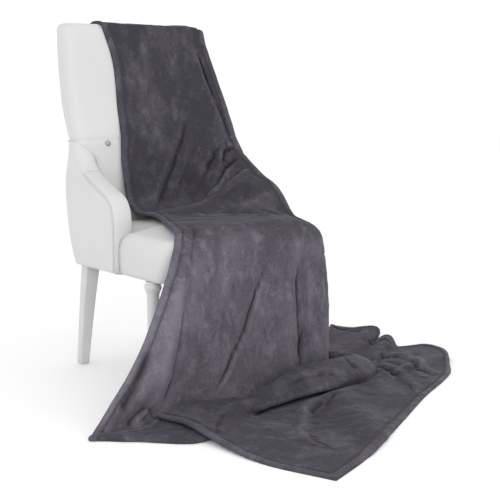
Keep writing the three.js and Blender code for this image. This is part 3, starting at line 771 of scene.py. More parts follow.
def path_down(u, settings):
    """Rounded paths down the blanket: points by rows, and the line number of each."""
    lines = station_points(u, settings)
    last = len(STATIONS) - 1
    points, numbers = [], []
    start = lines[0]
    for k in range(last):
        a, b = lines[k], lines[k + 1]
        arm = length_of(b - a)
        if k + 1 == last:
            reach, onward = np.zeros_like(arm), arm
        else:
            onward = length_of(lines[k + 2] - b)
            reach = np.minimum(STATIONS[k + 1][2], 0.45 * np.minimum(arm, onward))
        end = b + (a - b) * reach / arm
        steps = STATIONS[k][4]
        for s in range(steps):
            along = start + (end - start) * s / steps
            points.append(along)
            numbers.append(k + (length_of(along - a) / arm)[:, 0])
        if k + 1 == last:
            break
        after = b + (lines[k + 2] - b) * reach / onward
        arc = STATIONS[k + 1][3]
        for s in range(arc):
            t = s / arc
            points.append(end * (1 - t) ** 2 + b * 2 * t * (1 - t) + after * t * t)
            near = 1 - reach / arm
            numbers.append((k + near + (1 - near + reach / onward) * t)[:, 0])
        start = after
    points.append(lines[last])
    numbers.append(np.full(len(u), float(last)))
    return np.stack(points, axis=1), np.stack(numbers, axis=1)


def normals_of(grid):
    right = np.concatenate([grid[1:], grid[-1:]]) - np.concatenate([grid[:1], grid[:-1]])
    down = np.concatenate([grid[:, 1:], grid[:, -1:]], axis=1) - np.concatenate(
        [grid[:, :1], grid[:, :-1]], axis=1)
    normal = np.cross(right, -down)
    return normal / np.maximum(length_of(normal), 1e-9)


def fold_heights(numbers, u):
    """Height that the soft folds add at each point."""
    height = np.zeros_like(numbers)
    for name0, u0, name1, u1, width, rise in FOLDS:
        s0, s1 = NUMBER[name0], NUMBER[name1]
        t = (numbers - s0) / (s1 - s0)
        centre = u0 + (u1 - u0) * t
        tail = 1.0 if name1 == "outer hem" else np.clip(4 * (1 - t), 0, 1)
        fade = np.clip(np.minimum(4 * t, tail), 0, 1)
        inside = (t > 0) & (t < 1)
        height += inside * rise * fade * np.exp(-(((u - centre) / width) ** 2))
    return height


def clear_of_chair(p, settings):
    """Keeps the middle of the cloth above the right arm, in front of the back, off the floor."""
    half = settings.thickness / MM / 2
    away = settings.clearance / MM + half + SPARE
    x, y, z = p[..., 0], p[..., 1], p[..., 2]
    inner, outer, front = CHAIR["arm_inner"], CHAIR["arm_outer"], CHAIR["arm_front"]
    over = (x > inner - ARM_LEAD) & (x < outer + away - SPARE) & (y > front - FRONT_LEAD)
    over &= (y < ARM_EDGE[0][0]) & (z < CHAIR["arm_top"])
    top = read_over(ARM_EDGE[10::-1], np.maximum(y, front + 3)) + away
    lift = np.maximum(top - z, 0) * smooth(inner - ARM_LEAD, inner, x)
    z += np.where(over, lift, 0)
    face = back_front(z.ravel()).reshape(z.shape)
    before = (z > BACK_FROM) & (z < CHAIR["height"]) & (y < face + BACK_REACH)
    before &= np.abs(x) < BACK_HALF + away - SPARE
    y[...] = np.where(before, np.minimum(y, face - away), y)
    z[...] = np.maximum(z, half)


def respace(grid, extra, axis):
    """Columns (axis 0) or rows (axis 1) moved so that the first and last lie at set distances
    from the edge, as the hem needs; extra holds more values by point that move along."""
    if axis == 1:
        moved = respace(grid.swapaxes(0, 1), [e.swapaxes(0, 1) for e in extra], 0)
        return moved[0].swapaxes(0, 1), [e.swapaxes(0, 1) for e in moved[1]]
    count, rows = grid.shape[:2]
    edge = np.array(HEM_COLUMNS, float)
    steps = np.arange(count, dtype=float)
    out = np.zeros_like(grid)
    out_extra = [np.zeros_like(e) for e in extra]
    run = run_along(grid, 0)
    for j in range(rows):
        length = run[:, j]
        near = np.interp(edge, length, steps)
        far = np.interp(length[-1] - edge[::-1], length, steps)
        middle = np.linspace(near[-1], far[0], count - 2 * len(edge) + 2)[1:-1]
        at = np.concatenate([near, middle, far])
        for c in range(3):
            out[:, j, c] = np.interp(at, steps, grid[:, j, c])
        for e, o in zip(extra, out_extra):
            o[:, j] = np.interp(at, steps, e[:, j])
    return out, out_extra


def relax(grid, rounds):
    """Softens a grid in place between its neighbours; the borders keep their lines."""
    for _ in range(rounds):
        middle = (grid[:, :-2] + grid[:, 2:]) / 2
        grid[:, 1:-1] += 0.5 * (middle - grid[:, 1:-1])
        middle = (grid[:-2] + grid[2:]) / 2
        grid[1:-1] += 0.5 * (middle - grid[1:-1])


def waves(u_mm, v_mm, seed, shortest, longest, count):
    """Gentle uneven swell from crossing waves, between about -1 and 1."""
    random = np.random.default_rng(seed)
    total = np.zeros_like(u_mm)
    for _ in range(count):
        length = random.uniform(shortest, longest)
        turn, phase = random.uniform(0, math.tau, 2)
        total += np.sin((u_mm * math.cos(turn) + v_mm * math.sin(turn)) * math.tau / length + phase)
    return total / math.sqrt(count)


def crease_paths(grid, numbers, u):
    """Points of each crease on the even grid, with their line numbers and places across."""
    rows, columns = np.arange(grid.shape[1]), np.arange(len(u))
    paths = []
    for _name, depth, width, lip, way in CREASES:
        way = np.array(way, float)
        steps = np.arange(len(way))
        marks = read_rows(np.column_stack([steps, way]), np.linspace(0, steps[-1], 8 * len(way)))
        points = []
        for number, place in marks:
            column = float(np.interp(place, u, columns))
            left = min(int(column), len(u) - 2)
            pair = []
            for c in (left, left + 1):
                row = np.interp(number, numbers[c], rows)
                pair.append([np.interp(row, rows, grid[c, :, axis]) for axis in range(3)])
            points.append(np.array(pair[0]) + (np.array(pair[1]) - pair[0]) * (column - left))
        paths.append((depth, width, lip, np.array(points), marks))
    return paths


def crease_heights(grid, numbers, places, paths):
    """Height that the creases add at each point, the painted highlight on their lips and ridges, and
    the painted shade in their bottoms."""
    height, tone, shadow = (np.zeros_like(numbers) for _ in range(3))
    normals = normals_of(grid)
    for depth, width, lip, points, marks in paths:
        low, high = marks.min(axis=0) - (0.7, 0.12), marks.max(axis=0) + (0.7, 0.12)
        near = (numbers > low[0]) & (numbers < high[0]) & (places > low[1]) & (places < high[1])
        reach = 4 * width
        near &= ((grid > points.min(axis=0) - reach) & (grid < points.max(axis=0) + reach)).all(-1)
        spot, normal = grid[near], normals[near]
        start, span = points[:-1], np.diff(points, axis=0)
        offset = spot[:, None] - start[None]
        share = np.clip((offset * span).sum(-1) / (span**2).sum(-1), 0, 1)
        gap = offset - share[..., None] * span
        distance = np.linalg.norm(gap, axis=-1)
        best = distance.argmin(axis=1)
        pick = np.arange(len(spot)), best
        distance = distance[pick]
        along = (best + share[pick]) / len(span)
        side = np.sign((np.cross(span[best], gap[pick]) * normal).sum(-1))
        fade = smooth(0, CREASE_FADE, along) * smooth(0, CREASE_FADE, 1 - along)
        trough = np.exp(-((distance / width) ** 1.5))
        lip_at = LIP_AT * width * np.sign(lip)
        crest = np.exp(-(((side * distance - lip_at) / (LIP_WIDTH * width)) ** 2))
        height[near] += fade * (abs(lip) * crest - depth * trough)
        # Painted shade: a dark line along the crease's bottom, kept in shadow
        line = np.exp(-((distance / (BOTTOM_WIDTH * width)) ** 2))
        # Painted highlight: lips and ridges make the nap lighter
        tone[near] += fade * (abs(lip) * crest - min(depth, 0) * trough) / RIDGE_HIGHLIGHT
        shadow[near] = np.maximum(shadow[near], fade * line * min(max(depth, 0) / CREASE_SHADE_DEPTH, 1))
    return height, tone, shadow


def blanket_grid(settings):
    """Middle surface of the cloth, distances across and down, and the painted light and shade of its
    nap and creases.
    """
    share = np.linspace(0, 1, settings.columns)
    (first, last), (left, right) = COLUMN_SHARES, WIDTH_SHARES
    u = np.where(share < first, share * left / first, left + (share - first) * right / last)
    grid, numbers = path_down(u, settings)
    places = np.repeat(u[:, None], grid.shape[1], axis=1)
    grid += normals_of(grid) * fold_heights(numbers, places)[..., None]
    relax(grid, 5)
    paths = crease_paths(grid, numbers, u)
    grid, (numbers, places) = respace(grid, [numbers, places], 0)
    grid, (numbers, places) = respace(grid, [numbers, places], 1)
    across, down = run_along(grid, 0), run_along(grid, 1)
    height, tone, shadow = crease_heights(grid, numbers, places, paths)
    for seed, shortest, longest, count, rise in SWELLS:
        height += waves(across, down, seed, shortest, longest, count) * rise
    grid += normals_of(grid) * height[..., None]
    clear_of_chair(grid, settings)
    # Painted light and shade by region: darker on the back, seat and floor, lighter on the hanging
    # panel
    tone += read_over(NAP_LIGHT_AND_SHADE, numbers)
    return grid, across, down, tone, shadow


def edge_distance(across, down):
    from_sides = np.minimum(across, across[-1:] - across)
    from_ends = np.minimum(down, down[:, -1:] - down)
    return np.minimum(from_sides, from_ends)


def make_blanket(settings):
    grid, across, down, tone, shadow = blanket_grid(settings)
    distance = edge_distance(across, down)
    half = read_over(HEM_PROFILE, distance)
    # Painted highlight on the hem's puffed crest and painted shade in its seam
    tone += read_over(HEM_HIGHLIGHT_AND_SHADE, distance)
    normals = normals_of(grid)
    wide, rows = distance.shape
    points, uv = [], []
    for side in (1, -1):
        shell = grid + normals * (half * side)[..., None]
        shell[..., 2] = np.maximum(shell[..., 2], 0.0)
        points.append(shell.reshape(-1, 3))
        uv.append(np.stack([across, down], axis=-1).reshape(-1, 2) * MM)
    index = np.arange(wide * rows).reshape(wide, rows)
    a, b = index[:-1, :-1].ravel(), index[:-1, 1:].ravel()
    c, d = index[1:, 1:].ravel(), index[1:, :-1].ravel()
    other = wide * rows
    border = np.concatenate([index[0, ::-1], index[1:, 0], index[-1, 1:], index[-2:0:-1, -1]])
    following = np.roll(border, -1)
    faces = [np.stack([a, b, c, d], axis=1), np.stack([a, d, c, b], axis=1) + other,
             np.stack([border, following, following + other, border + other], axis=1)]
    piece = new_mesh("fleece_blanket", np.concatenate(points), np.concatenate(faces),
                     material("Grey plush fleece", fleece_paint, settings), np.concatenate(uv))
    in_hem = smooth(*PUCKER_RISE, distance) * smooth(*PUCKER_FADE, distance)
    # nap carries painted light and shade; crease carries the painted shade in the creases' bottoms
    for name, values in (("nap", tone), ("hem", in_hem), ("crease", shadow)):
        layer = piece.data.attributes.new(name, "FLOAT", "POINT")
        layer.data.foreach_set("value", np.tile(values.ravel(), 2).astype(np.float32))
    thin_underside(piece, np.flatnonzero(distance.ravel() > UNDERSIDE_BORDER) + other)
    finish_piece(piece, "fleece", "blanket")
    stitches = make_stitches(grid, normals, half, settings)
    return piece, stitches


def thin_underside(piece, indices):
    """Fewer faces on the cloth's second side, which faces up only where the flap turns back."""
    group = piece.vertex_groups.new(name="underside")
    group.add(indices.tolist(), 1.0, "REPLACE")
    modifier = piece.modifiers.new("Fewer faces underneath", "DECIMATE")
    modifier.ratio = UNDERSIDE_RATIO
    modifier.vertex_group = "underside"
    apply_modifiers(piece)


def make_stitches(grid, normals, half, settings):
    """The hem's seam, stitched round both sides of the cloth."""
    seam = HEM_COLUMNS.index(HEM_SEAM)
    paths = []
    for side in (1, -1):
        shell = grid + normals * ((half + STITCH_PROUD) * side)[..., None]
        shell[..., 2] = np.maximum(shell[..., 2], STITCH_LIFT)
        loop = np.concatenate([shell[seam, seam:-seam], shell[seam:-seam, -seam - 1],
                               shell[-seam - 1, -seam - 1:seam:-1], shell[-seam - 1:seam:-1, seam]])
        paths.append((loop, True))
    piece = along_paths("hem_stitching", paths, stitch_tree, STITCH,
                        material("Grey thread", thread_paint, settings))
    finish_piece(piece, "fleece")
    return piece


# Chair


def rounded_outline(x0, x1, y0, y1, rear, front, arc_steps, side_steps):
    """Rectangle in plan with round corners of two radii and points along its sides."""
    corners = [(x1 - rear, y1 - rear, rear), (x0 + rear, y1 - rear, rear),
               (x0 + front, y0 + front, front), (x1 - front, y0 + front, front)]
    points = []
    for i, (cx, cy, radius) in enumerate(corners):
        for s in range(arc_steps + 1):
            angle = (i + s / arc_steps) * math.pi / 2
            points.append((cx + radius * math.cos(angle), cy + radius * math.sin(angle)))
        nx, ny, radius = corners[(i + 1) % 4]
        angle = (i + 1) * math.pi / 2
        target = (nx + radius * math.cos(angle), ny + radius * math.sin(angle))
        x, y = points[-1]
        for s in range(1, side_steps):
            t = s / side_steps
            points.append((x + (target[0] - x) * t, y + (target[1] - y) * t))
    return points


def capped_rings(rings):
    """Points and faces of a closed solid from rings, each end filled by a fan."""
    count = len(rings[0])
    points = [p for ring in rings for p in ring]
    faces = ring_faces(len(rings), count)
    for ring, first, up in ((rings[0], 0, False), (rings[-1], (len(rings) - 1) * count, True)):
        centre = len(points)
        points.append(tuple(np.mean(np.array(ring), axis=0)))
        for i in range(count):
            j = (i + 1) % count
            faces.append((centre, first + i, first + j) if up else (centre, first + j, first + i))
    return points, faces


# The back's rounded top: rows of height, how much narrower on each side, how much thinner
BACK_CROWN = [(1027, 0, 0), (1035, 1, 0.6), (1041, 3, 2.2), (1045.5, 6, 4.8), (1048.5, 11, 8.6),
              (1050.4, 18, 14), (1051, 27, 21)]

# Its rows between the underside and the seam at its waist, and between the waist and the crown
LOWER_ROWS = [325, 329, 340, 353, 381, 426, 471, 525, 578, 610, 635, 650, 662, 673, 682, 689,
              694, 697, 699.4]
WAIST = 700.0
UPPER_ROWS = [700.6, 703, 706, 711, 720, 733, 745, 765, 785, 804, 834, 865, 900, 940, 985, 1010]
REAR_CORNER, FRONT_CORNER = 9.0, 30.0

# The back spreads behind the arms from a height to the waist; its front is full from a height up
SPREAD, SPREAD_FROM = 46, 632
PUFF, PUFF_FULL = 4, 780


def crease(z, place, depth, reach):
    """Depth at a height of a soft sewn groove."""
    return depth * math.exp(-(((z - place) / reach) ** 2))


def back_ring(z, half, inset, puff):
    """Outline of the back at a height; its front is crowned by puff between the corners."""
    front, rear = back_front(z)[0] + inset, back_rear(z)[0] - inset
    room = (rear - front) / 2 - 1
    ring = rounded_outline(-half, half, front, rear, min(REAR_CORNER, room),
                           min(FRONT_CORNER, 2 * room - REAR_CORNER), 7, 14)
    crowned = []
    for x, y in ring:
        before = smooth(0.55, 0, (y - front) / (rear - front))
        crowned.append((x, y - puff * float(before) * (1 - (x / half) ** 4), z))
    return crowned


def make_back(settings):
    rings = []
    for z in LOWER_ROWS:
        groove = crease(z, WAIST, 2.2, 6) + crease(z, CHAIR["underside"], 4, 6)
        spread = SPREAD * float(smooth(SPREAD_FROM, WAIST, z))
        rings.append(back_ring(z, CHAIR["arm_inner"] - 0.3 + spread - groove, groove, 0))
    for z in UPPER_ROWS:
        groove = crease(z, WAIST, 2.6, 7)
        puff = PUFF * float(smooth(WAIST, PUFF_FULL, z))
        rings.append(back_ring(z, read_rows(BACK_WIDTH, z)[0, 0] - groove, groove, puff))
    for z, narrower, inset in BACK_CROWN:
        puff = PUFF * (1 - inset / BACK_CROWN[-1][2])
        rings.append(back_ring(z, read_rows(BACK_WIDTH, z)[0, 0] - narrower, inset, puff))
    points, faces = capped_rings(rings)
    piece = new_mesh("back_upholstery", points, faces,
                     material("White upholstery", leather_paint, settings))
    finish_piece(piece, "upholstery", "back")
    return piece


def resampled(path, spacing):
    """Even steps along a smooth curve through the points of a path."""
    path = np.asarray(path, float)
    run = np.concatenate([[0], np.cumsum(np.linalg.norm(np.diff(path, axis=0), axis=1))])
    count = max(int(round(run[-1] / spacing)), 2)
    return read_rows(np.column_stack([run, path]), np.linspace(0, run[-1], count + 1))


def inward_normals(outline):
    """Unit normals into a closed counter-clockwise outline."""
    along = np.roll(outline, -1, axis=0) - np.roll(outline, 1, axis=0)
    normal = np.column_stack([-along[:, 1], along[:, 0]])
    return normal / np.maximum(np.linalg.norm(normal, axis=1, keepdims=True), 1e-9)


# The arm's band: how far it bows out between the side panels, and its steps from side to side
ARM_BOW = 4.5
ARM_STEPS = 12

# Heights between which the band's outer edge turns from a piped corner into the round wing, and
# how much rounder the wing is; heights over which the outer side draws in, and how far
WING, WING_ROUND = (604, 650), 18
TAPER, TAPER_DEPTH = (560, 690), 12

# Roundness of the outer and the inner corners at the arm's rear, top, front and foot
OUTER_CORNERS = [15.0, 3.0, 3.5, 6.0]
INNER_CORNERS = [3.0, 3.0, 3.5, 3.0]

# The band bows out from the foot's seam up, over these heights
BOW_FROM = (326, 345)

# How far the inner and the outer panel bulge, the distance from the edge over which they rise,
# and the spacing of their points
PANEL_BULGES, BULGE_REACH, PANEL_SPACING = (-1.5, 3.0), 26, 13

# How far the cord stands out, its lowest height, its step in metres, and the place of the seam
CORD_PROUD, CORD_FROM, CORD_STEP = 1.2, 330, 0.006
ARM_SEAM_AT = (140.0, 606.0)


def arm_outline():
    """The arm seen from the side as y, z: up its rear, over its top, down the scooped edge."""
    rear = [(back_rear(z)[0] - 1, z) for z in (325, 353, 381, 426, 471, 525, 578, 640)]
    top = [(256, 699.5), (205, 697)]
    rear_edge = resampled(rear + [top[0]], 10)
    top_edge = resampled(top, 10)
    front_edge = resampled(ARM_EDGE, 8)
    foot = resampled([ARM_EDGE[-1], rear[0]], 12)
    outline = np.concatenate([rear_edge[:-1], top_edge[:-1], front_edge[:-1], foot[:-1]])
    part = np.repeat([0, 1, 2, 3], [len(rear_edge) - 1, len(top_edge) - 1, len(front_edge) - 1,
                                    len(foot) - 1])
    return outline, part


def arm_rings():
    """Outlines of the arm from its inner side to its outer side, as x, y, z for the left arm."""
    outline, part = arm_outline()
    inward = inward_normals(outline)
    z = outline[:, 1]
    inner, outer = CHAIR["arm_inner"], CHAIR["arm_outer"] - TAPER_DEPTH * smooth(*TAPER, z)
    front = (part == 2).astype(float) * smooth(*BOW_FROM, z)
    for _ in range(3):
        front = (np.roll(front, 1) + front + np.roll(front, -1)) / 3
    wing = smooth(*WING, z)
    outer_corner = np.choose(part, OUTER_CORNERS) + front * wing * WING_ROUND
    inner_corner = np.choose(part, INNER_CORNERS)
    rings = []
    for step in range(ARM_STEPS + 1):
        angle = (step / ARM_STEPS - 0.5) * math.pi
        round_in = 1 - math.cos(angle)
        edge = outer_corner if angle > 0 else inner_corner
        inset = edge * round_in - ARM_BOW * front * math.cos(angle)
        x = inner + (outer - inner) * (1 + math.sin(angle)) / 2
        section = outline + inward * inset[:, None]
        rings.append(np.column_stack([x, section]))
    return rings


def panel_faces(ring, spacing):
    """Points inside a flat ring, with their distances from it, and triangles over both sets of
    points, where the ring's own are numbered first."""
    flat = ring[:, 1:]
    low, high = flat.min(axis=0), flat.max(axis=0)
    inner = []
    following = np.roll(flat, -1, axis=0)
    for y in np.arange(low[0], high[0], spacing):
        for z in np.arange(low[1], high[1], spacing):
            crossing = (flat[:, 1] > z) != (following[:, 1] > z)
            slope = (following[:, 0] - flat[:, 0]) / np.where(crossing, following[:, 1] - flat[:, 1], 1)
            inside = np.sum(crossing & (y < flat[:, 0] + (z - flat[:, 1]) * slope)) % 2
            gap = np.linalg.norm(flat - (y, z), axis=1).min()
            if inside and gap > spacing * 0.6:
                inner.append((y, z, gap))
    spots = [Vector(p) for p in flat] + [Vector(p[:2]) for p in inner]
    loop = list(range(len(flat)))
    _, _, faces, origins, _, _ = delaunay_2d_cdt(spots, [], [loop], 1, 1e-4)
    faces = [[origins[i][0] for i in face] for face in faces]
    return np.array(inner).reshape(-1, 3), faces


def make_arm(name, side, settings):
    rings = arm_rings()
    count = len(rings[0])
    points = list(rings)
    faces = ring_faces(len(rings), count)
    total = len(rings) * count
    for ring, first, bulge in zip((rings[0], rings[-1]), (0, total - count), PANEL_BULGES):
        inner, panel = panel_faces(ring, PANEL_SPACING)
        rise = 1 - np.exp(-((inner[:, 2] / BULGE_REACH) ** 2))
        nearest = np.linalg.norm(ring[None, :, 1:] - inner[:, None, :2], axis=-1).argmin(axis=1)
        points.append(np.column_stack([ring[nearest, 0] + bulge * rise, inner[:, :2]]))
        for face in panel:
            faces.append([first + i if i < count else total + i - count for i in face])
        total += len(inner)
    points = np.concatenate(points) * (side, 1, 1)
    piece = new_mesh(name + "_upholstery", points, faces,
                     material("White upholstery", leather_paint, settings))
    work = bmesh.new()
    work.from_mesh(piece.data)
    bmesh.ops.recalc_face_normals(work, faces=work.faces)
    work.to_mesh(piece.data)
    work.free()
    finish_piece(piece, "upholstery", name)
    return piece


def make_piping(settings):
    """Cord round the outer panel of each arm, and a finer seam over its band."""
    outline, part = arm_outline()
    rings = arm_rings()
    edge = (part == 2) & (outline[:, 1] < WING[0] + 8) & (outline[:, 1] > CORD_FROM)
    across = np.linalg.norm(outline - ARM_SEAM_AT, axis=1).argmin()
    cords, seams = [], []
    for side in (1, -1):
        cord = rings[-1][edge] * (side, 1, 1)
        cords.append((cord + (side * CORD_PROUD, 0, 0), False))
        seams.append(([ring[across] * (side, 1, 1) for ring in rings], False))
    paint = material("White cord", shaded_cord_paint, settings)
    for name, paths, radius in (("arm_piping", cords, settings.piping_radius),
                                ("arm_seams", seams, settings.piping_radius / 2)):
        sizes = {"Radius": radius, "Step": CORD_STEP}
        piece = along_paths(name, paths, piping_tree, sizes, paint)
        finish_piece(piece, "upholstery")


# Steps along each straight side of the seat's outline, from its right rear corner
SEAT_STEPS = [16, 10, 3, 10, 18, 10, 3, 10]
SEAT_CORNER = 30.0


def seat_outline(inset):
    """T shape in plan: narrow between the arms, full width in front of them."""
    rear_half, half = CHAIR["arm_inner"] - 0.3 - inset, CHAIR["seat_half"] - inset
    step, rear = CHAIR["arm_front"] - 1.0 - inset, SEAT_REAR - inset
    front, corner = CHAIR["seat_front"] + inset, SEAT_CORNER - inset
    ends = [((rear_half, rear), (-rear_half, rear)), ((-rear_half, rear), (-rear_half, step)),
            ((-rear_half, step), (-half, step)), ((-half, step), (-half, front + corner)),
            ((-half + corner, front), (half - corner, front)),
            ((half, front + corner), (half, step)), ((half, step), (rear_half, step)),
            ((rear_half, step), (rear_half, rear))]
    points = []
    for i, (start, end) in enumerate(ends):
        for s in range(SEAT_STEPS[i]):
            t = s / SEAT_STEPS[i]
            points.append((start[0] + (end[0] - start[0]) * t, start[1] + (end[1] - start[1]) * t))
        if i in (3, 4):
            way = 1 if i == 4 else -1
            first = 180 if i == 3 else 270
            for s in range(6):
                angle = math.radians(first + 90 * s / 6)
                points.append((way * (half - corner) + corner * math.cos(angle),
                               front + corner + corner * math.sin(angle)))
    return points


def seat_lean(y, z):
    share = (z - CHAIR["underside"]) / (CHAIR["seat_edge"] - CHAIR["underside"])
    return CHAIR["seat_rake"] * smooth(-40, CHAIR["seat_front"], y) * share


# The seat's side from below: rows of height, inset. Its top: sizes of its rings, inwards
SEAT_SIDE = [(325, 14), (326.5, 8), (330, 4), (338, 1.2), (350, 0), (372, -1), (392, -1.2),
             (408, 0), (420, 2.5), (430, 6), (438, 11), (444, 17.5), (447.5, 24)]
SEAT_TOP = (0.96, 0.91, 0.84, 0.75, 0.64, 0.5, 0.34, 0.16)


def make_seat(settings):
    rings = []
    for z, inset in SEAT_SIDE:
        ring = seat_outline(inset)
        rings.append([(x, y - float(seat_lean(y, z)), z) for x, y in ring])
    edge, centre = rings[-1], CHAIR["seat_centre"]
    start = SEAT_SIDE[-1][0]
    for scale in SEAT_TOP:
        rise = (CHAIR["seat_edge"] + CHAIR["seat_crown"] - start) * (1 - scale * scale)
        rings.append([(x * scale, centre + (y - centre) * scale, start + rise)
                      for x, y, _ in edge])
    points, faces = capped_rings(rings)
    piece = new_mesh("seat_upholstery", points, faces,
                     material("White upholstery", leather_paint, settings))
    finish_piece(piece, "upholstery", "seat")
    return piece


# Rear leg: rows of share of its height, x, y, width. It is square with round corners, turned in
# plan, and eased at its foot up to a height, which lies at a share of the leg
REAR_LEG = [(0, 223, 252, 30), (0.6, 227, 212, 38), (1, 230, 181, 44)]
LEG_CORNER, LEG_TURN = 4.5, 7
EASED, EASED_HEIGHT, EASED_SHARE = 3, 2.5, 0.012

# Front leg: its place, and rows of radius, height
FRONT_LEG_AT = (236, -179)
FRONT_LEG = [(11.5, 0), (13, 1.5), (13.4, 20), (14.5, 60), (15.6, 150), (17, 250), (17.5, 286),
             (18.3, 290), (20.4, 293), (20.2, 296), (22.5, 300), (24.2, 304), (24.5, 309),
             (23.6, 314), (21, 318), (20, 321), (20, 324.7)]


def leg_ring(side, x, y, z, width):
    """Outline of a rear leg at a height."""
    turn = side * math.radians(LEG_TURN)
    cos, sin = math.cos(turn), math.sin(turn)
    half = width / 2
    section = rounded_outline(-half, half, -half, half, LEG_CORNER, LEG_CORNER, 3, 3)
    return [(side * x + a * cos - b * sin, y + a * sin + b * cos, z) for a, b in section]


def make_leg(name, rings, sharp, settings):
    points, faces = capped_rings(rings)
    piece = new_mesh(name + "_painted", points, faces,
                     material("White painted wood", leg_paint, settings), sharp=sharp)
    finish_piece(piece, "legs", name)


def make_rear_leg(name, side, settings):
    rings = []
    for share in [0, EASED_SHARE, *np.linspace(0, 1, 15)[1:]]:
        x, y, width = read_rows(REAR_LEG, share)[0]
        if share == 0:
            width -= EASED
        z = EASED_HEIGHT if share == EASED_SHARE else share * (CHAIR["underside"] - 0.3)
        rings.append(leg_ring(side, x, y, z, width))
    make_leg(name, rings, 50, settings)


def make_front_leg(name, side, settings):
    x0, y0 = FRONT_LEG_AT
    rings = [[(side * x0 + x, y0 + y, z) for x, y in circle(r, 40)] for r, z in FRONT_LEG]
    make_leg(name, rings, 40, settings)


# The covered button: its x and z, and rows of share of its radius, depth
BUTTON_AT = (-165.0, 690.0)
BUTTON = [(0.55, 0.0), (0.9, 0.6), (1, 2.0), (0.95, 3.2), (0.8, 4.6), (0.6, 5.9), (0.35, 6.9),
          (0.12, 7.3)]


def make_button(settings):
    """Covered button: a dome with a pressed rim."""
    radius = settings.button_radius / MM
    x0, z0 = BUTTON_AT
    y0 = back_front(z0)[0] - 0.3
    rings = []
    for share, depth in BUTTON:
        rings.append([(x0 + x, y0 - depth, z0 + z) for x, z in circle(radius * share, 28)])
    points, faces = capped_rings(rings)
    piece = new_mesh("button_left_covered", points, faces,
                     material("Grey pearl", button_paint, settings))
    finish_piece(piece, "upholstery", "button_left")
    return piece


# Stage

# Camera in the chair's frame: distance and height in metres, angles in degrees
CAMERA = {"azimuth": -34.271, "distance": 3.343, "height": 0.870, "yaw": -3.294,
          "pitch": 8.498, "roll": 0.311, "focal_px": 1110.774}
PHOTO_WIDTH, SENSOR_WIDTH = 500.0, 36.0

# Lamps: name, place, the place it points at, size in metres, and the setting with its power
LAMPS = [("Key lamp", (-2.4, -2.8, 1.6), (-0.1, 0.1, 0.45), 1.2, "key_power"),
         ("Fill lamp", (2.4, -2.6, 1.4), (0.0, 0.0, 0.4), 2.0, "fill_power")]
FLOOR_HALF = 14.0


def make_camera():
    turn = math.radians(CAMERA["azimuth"])
    distance = CAMERA["distance"]
    eye = Vector((math.sin(turn) * distance, -math.cos(turn) * distance, CAMERA["height"]))
    look = math.radians(CAMERA["azimuth"] + CAMERA["yaw"])
    pitch, roll = math.radians(CAMERA["pitch"]), math.radians(CAMERA["roll"])
    ahead = Vector((-math.sin(look) * math.cos(pitch), math.cos(look) * math.cos(pitch),
                    -math.sin(pitch)))
    right = Vector((math.cos(look), math.sin(look), 0))
    up = right.cross(ahead)
    across = right * math.cos(roll) + up * math.sin(roll)
    upright = across.cross(ahead)
    data = bpy.data.cameras.new("Camera")
    data.sensor_width = SENSOR_WIDTH
    data.lens = SENSOR_WIDTH * CAMERA["focal_px"] / PHOTO_WIDTH
    data.clip_end = 50
    camera = add_object("Camera", data)
    axes = Matrix((across, upright, -ahead)).transposed()
    camera.matrix_world = Matrix.Translation(eye + Vector(PLACE)) @ axes.to_4x4()
    bpy.context.scene.camera = camera


def make_lamp(name, place, target, size, power):
    data = bpy.data.lights.new(name, "AREA")
    data.shape = "DISK"
    data.size = size
    data.energy = power
    lamp = add_object(name, data)
    lamp.location = place
    aim = Vector(target) - Vector(place)
    lamp.rotation_euler = aim.to_track_quat("-Z", "Y").to_euler()


def make_stage(settings):
    make_camera()
    mesh = bpy.data.meshes.new("floor")
    corners = [(FLOOR_HALF * x, FLOOR_HALF * y, 0) for x, y in ((-1, -1), (1, -1), (1, 1), (-1, 1))]
    mesh.from_pydata(corners, [], [(0, 1, 2, 3)])
    mesh.materials.append(material("Pale floor", floor_paint, settings))
    add_object("floor", mesh)
    world = bpy.data.worlds.new("Studio")
    world.use_nodes = True
    background = world.node_tree.nodes["Background"]
    background.inputs["Color"].default_value = (1, 1, 1, 1)
    background.inputs["Strength"].default_value = settings.world_strength
    bpy.context.scene.world = world
    for name, place, target, size, power in LAMPS:
        make_lamp(name, place, target, size, getattr(settings, power))
    bpy.context.scene.view_settings.view_transform = "Standard"


# Add-on


class BlanketSettings(bpy.types.PropertyGroup):
    thickness: FloatProperty(name="Thickness", description="Thickness of the plain cloth",
                             default=0.0035, min=0.001, max=0.01, unit="LENGTH")
    clearance: FloatProperty(name="Clearance", description="Gap between the cloth and the chair",
                             default=0.0028, min=0.0005, max=0.01, unit="LENGTH")
    columns: IntProperty(name="Columns", description="Points across the cloth",
                         default=190, min=80, max=240)
    fleece_colour: FloatVectorProperty(name="Fleece colour", description="Middle tone of the nap",
                                       default=(0.078, 0.072, 0.089), subtype="COLOR",
                                       min=0, max=1)
    sheen: FloatProperty(name="Sheen", description="Strength of the nap's sheen",
                         default=0.1, min=0, max=1, subtype="FACTOR")


class ChairSettings(bpy.types.PropertyGroup):
    cover_colour: FloatVectorProperty(name="Cover colour", description="White of the upholstery",
                                      default=(0.62, 0.62, 0.617), subtype="COLOR", min=0, max=1)
    leg_colour: FloatVectorProperty(name="Leg colour", description="White of the painted legs",
                                    default=(0.60, 0.60, 0.597), subtype="COLOR", min=0, max=1)
    piping_radius: FloatProperty(name="Piping radius", description="Radius of the arms' piping",
                                 default=0.003, min=0.0005, max=0.006, unit="LENGTH")
    button_radius: FloatProperty(name="Button radius", description="Radius of the covered button",
                                 default=0.009, min=0.004, max=0.02, unit="LENGTH")


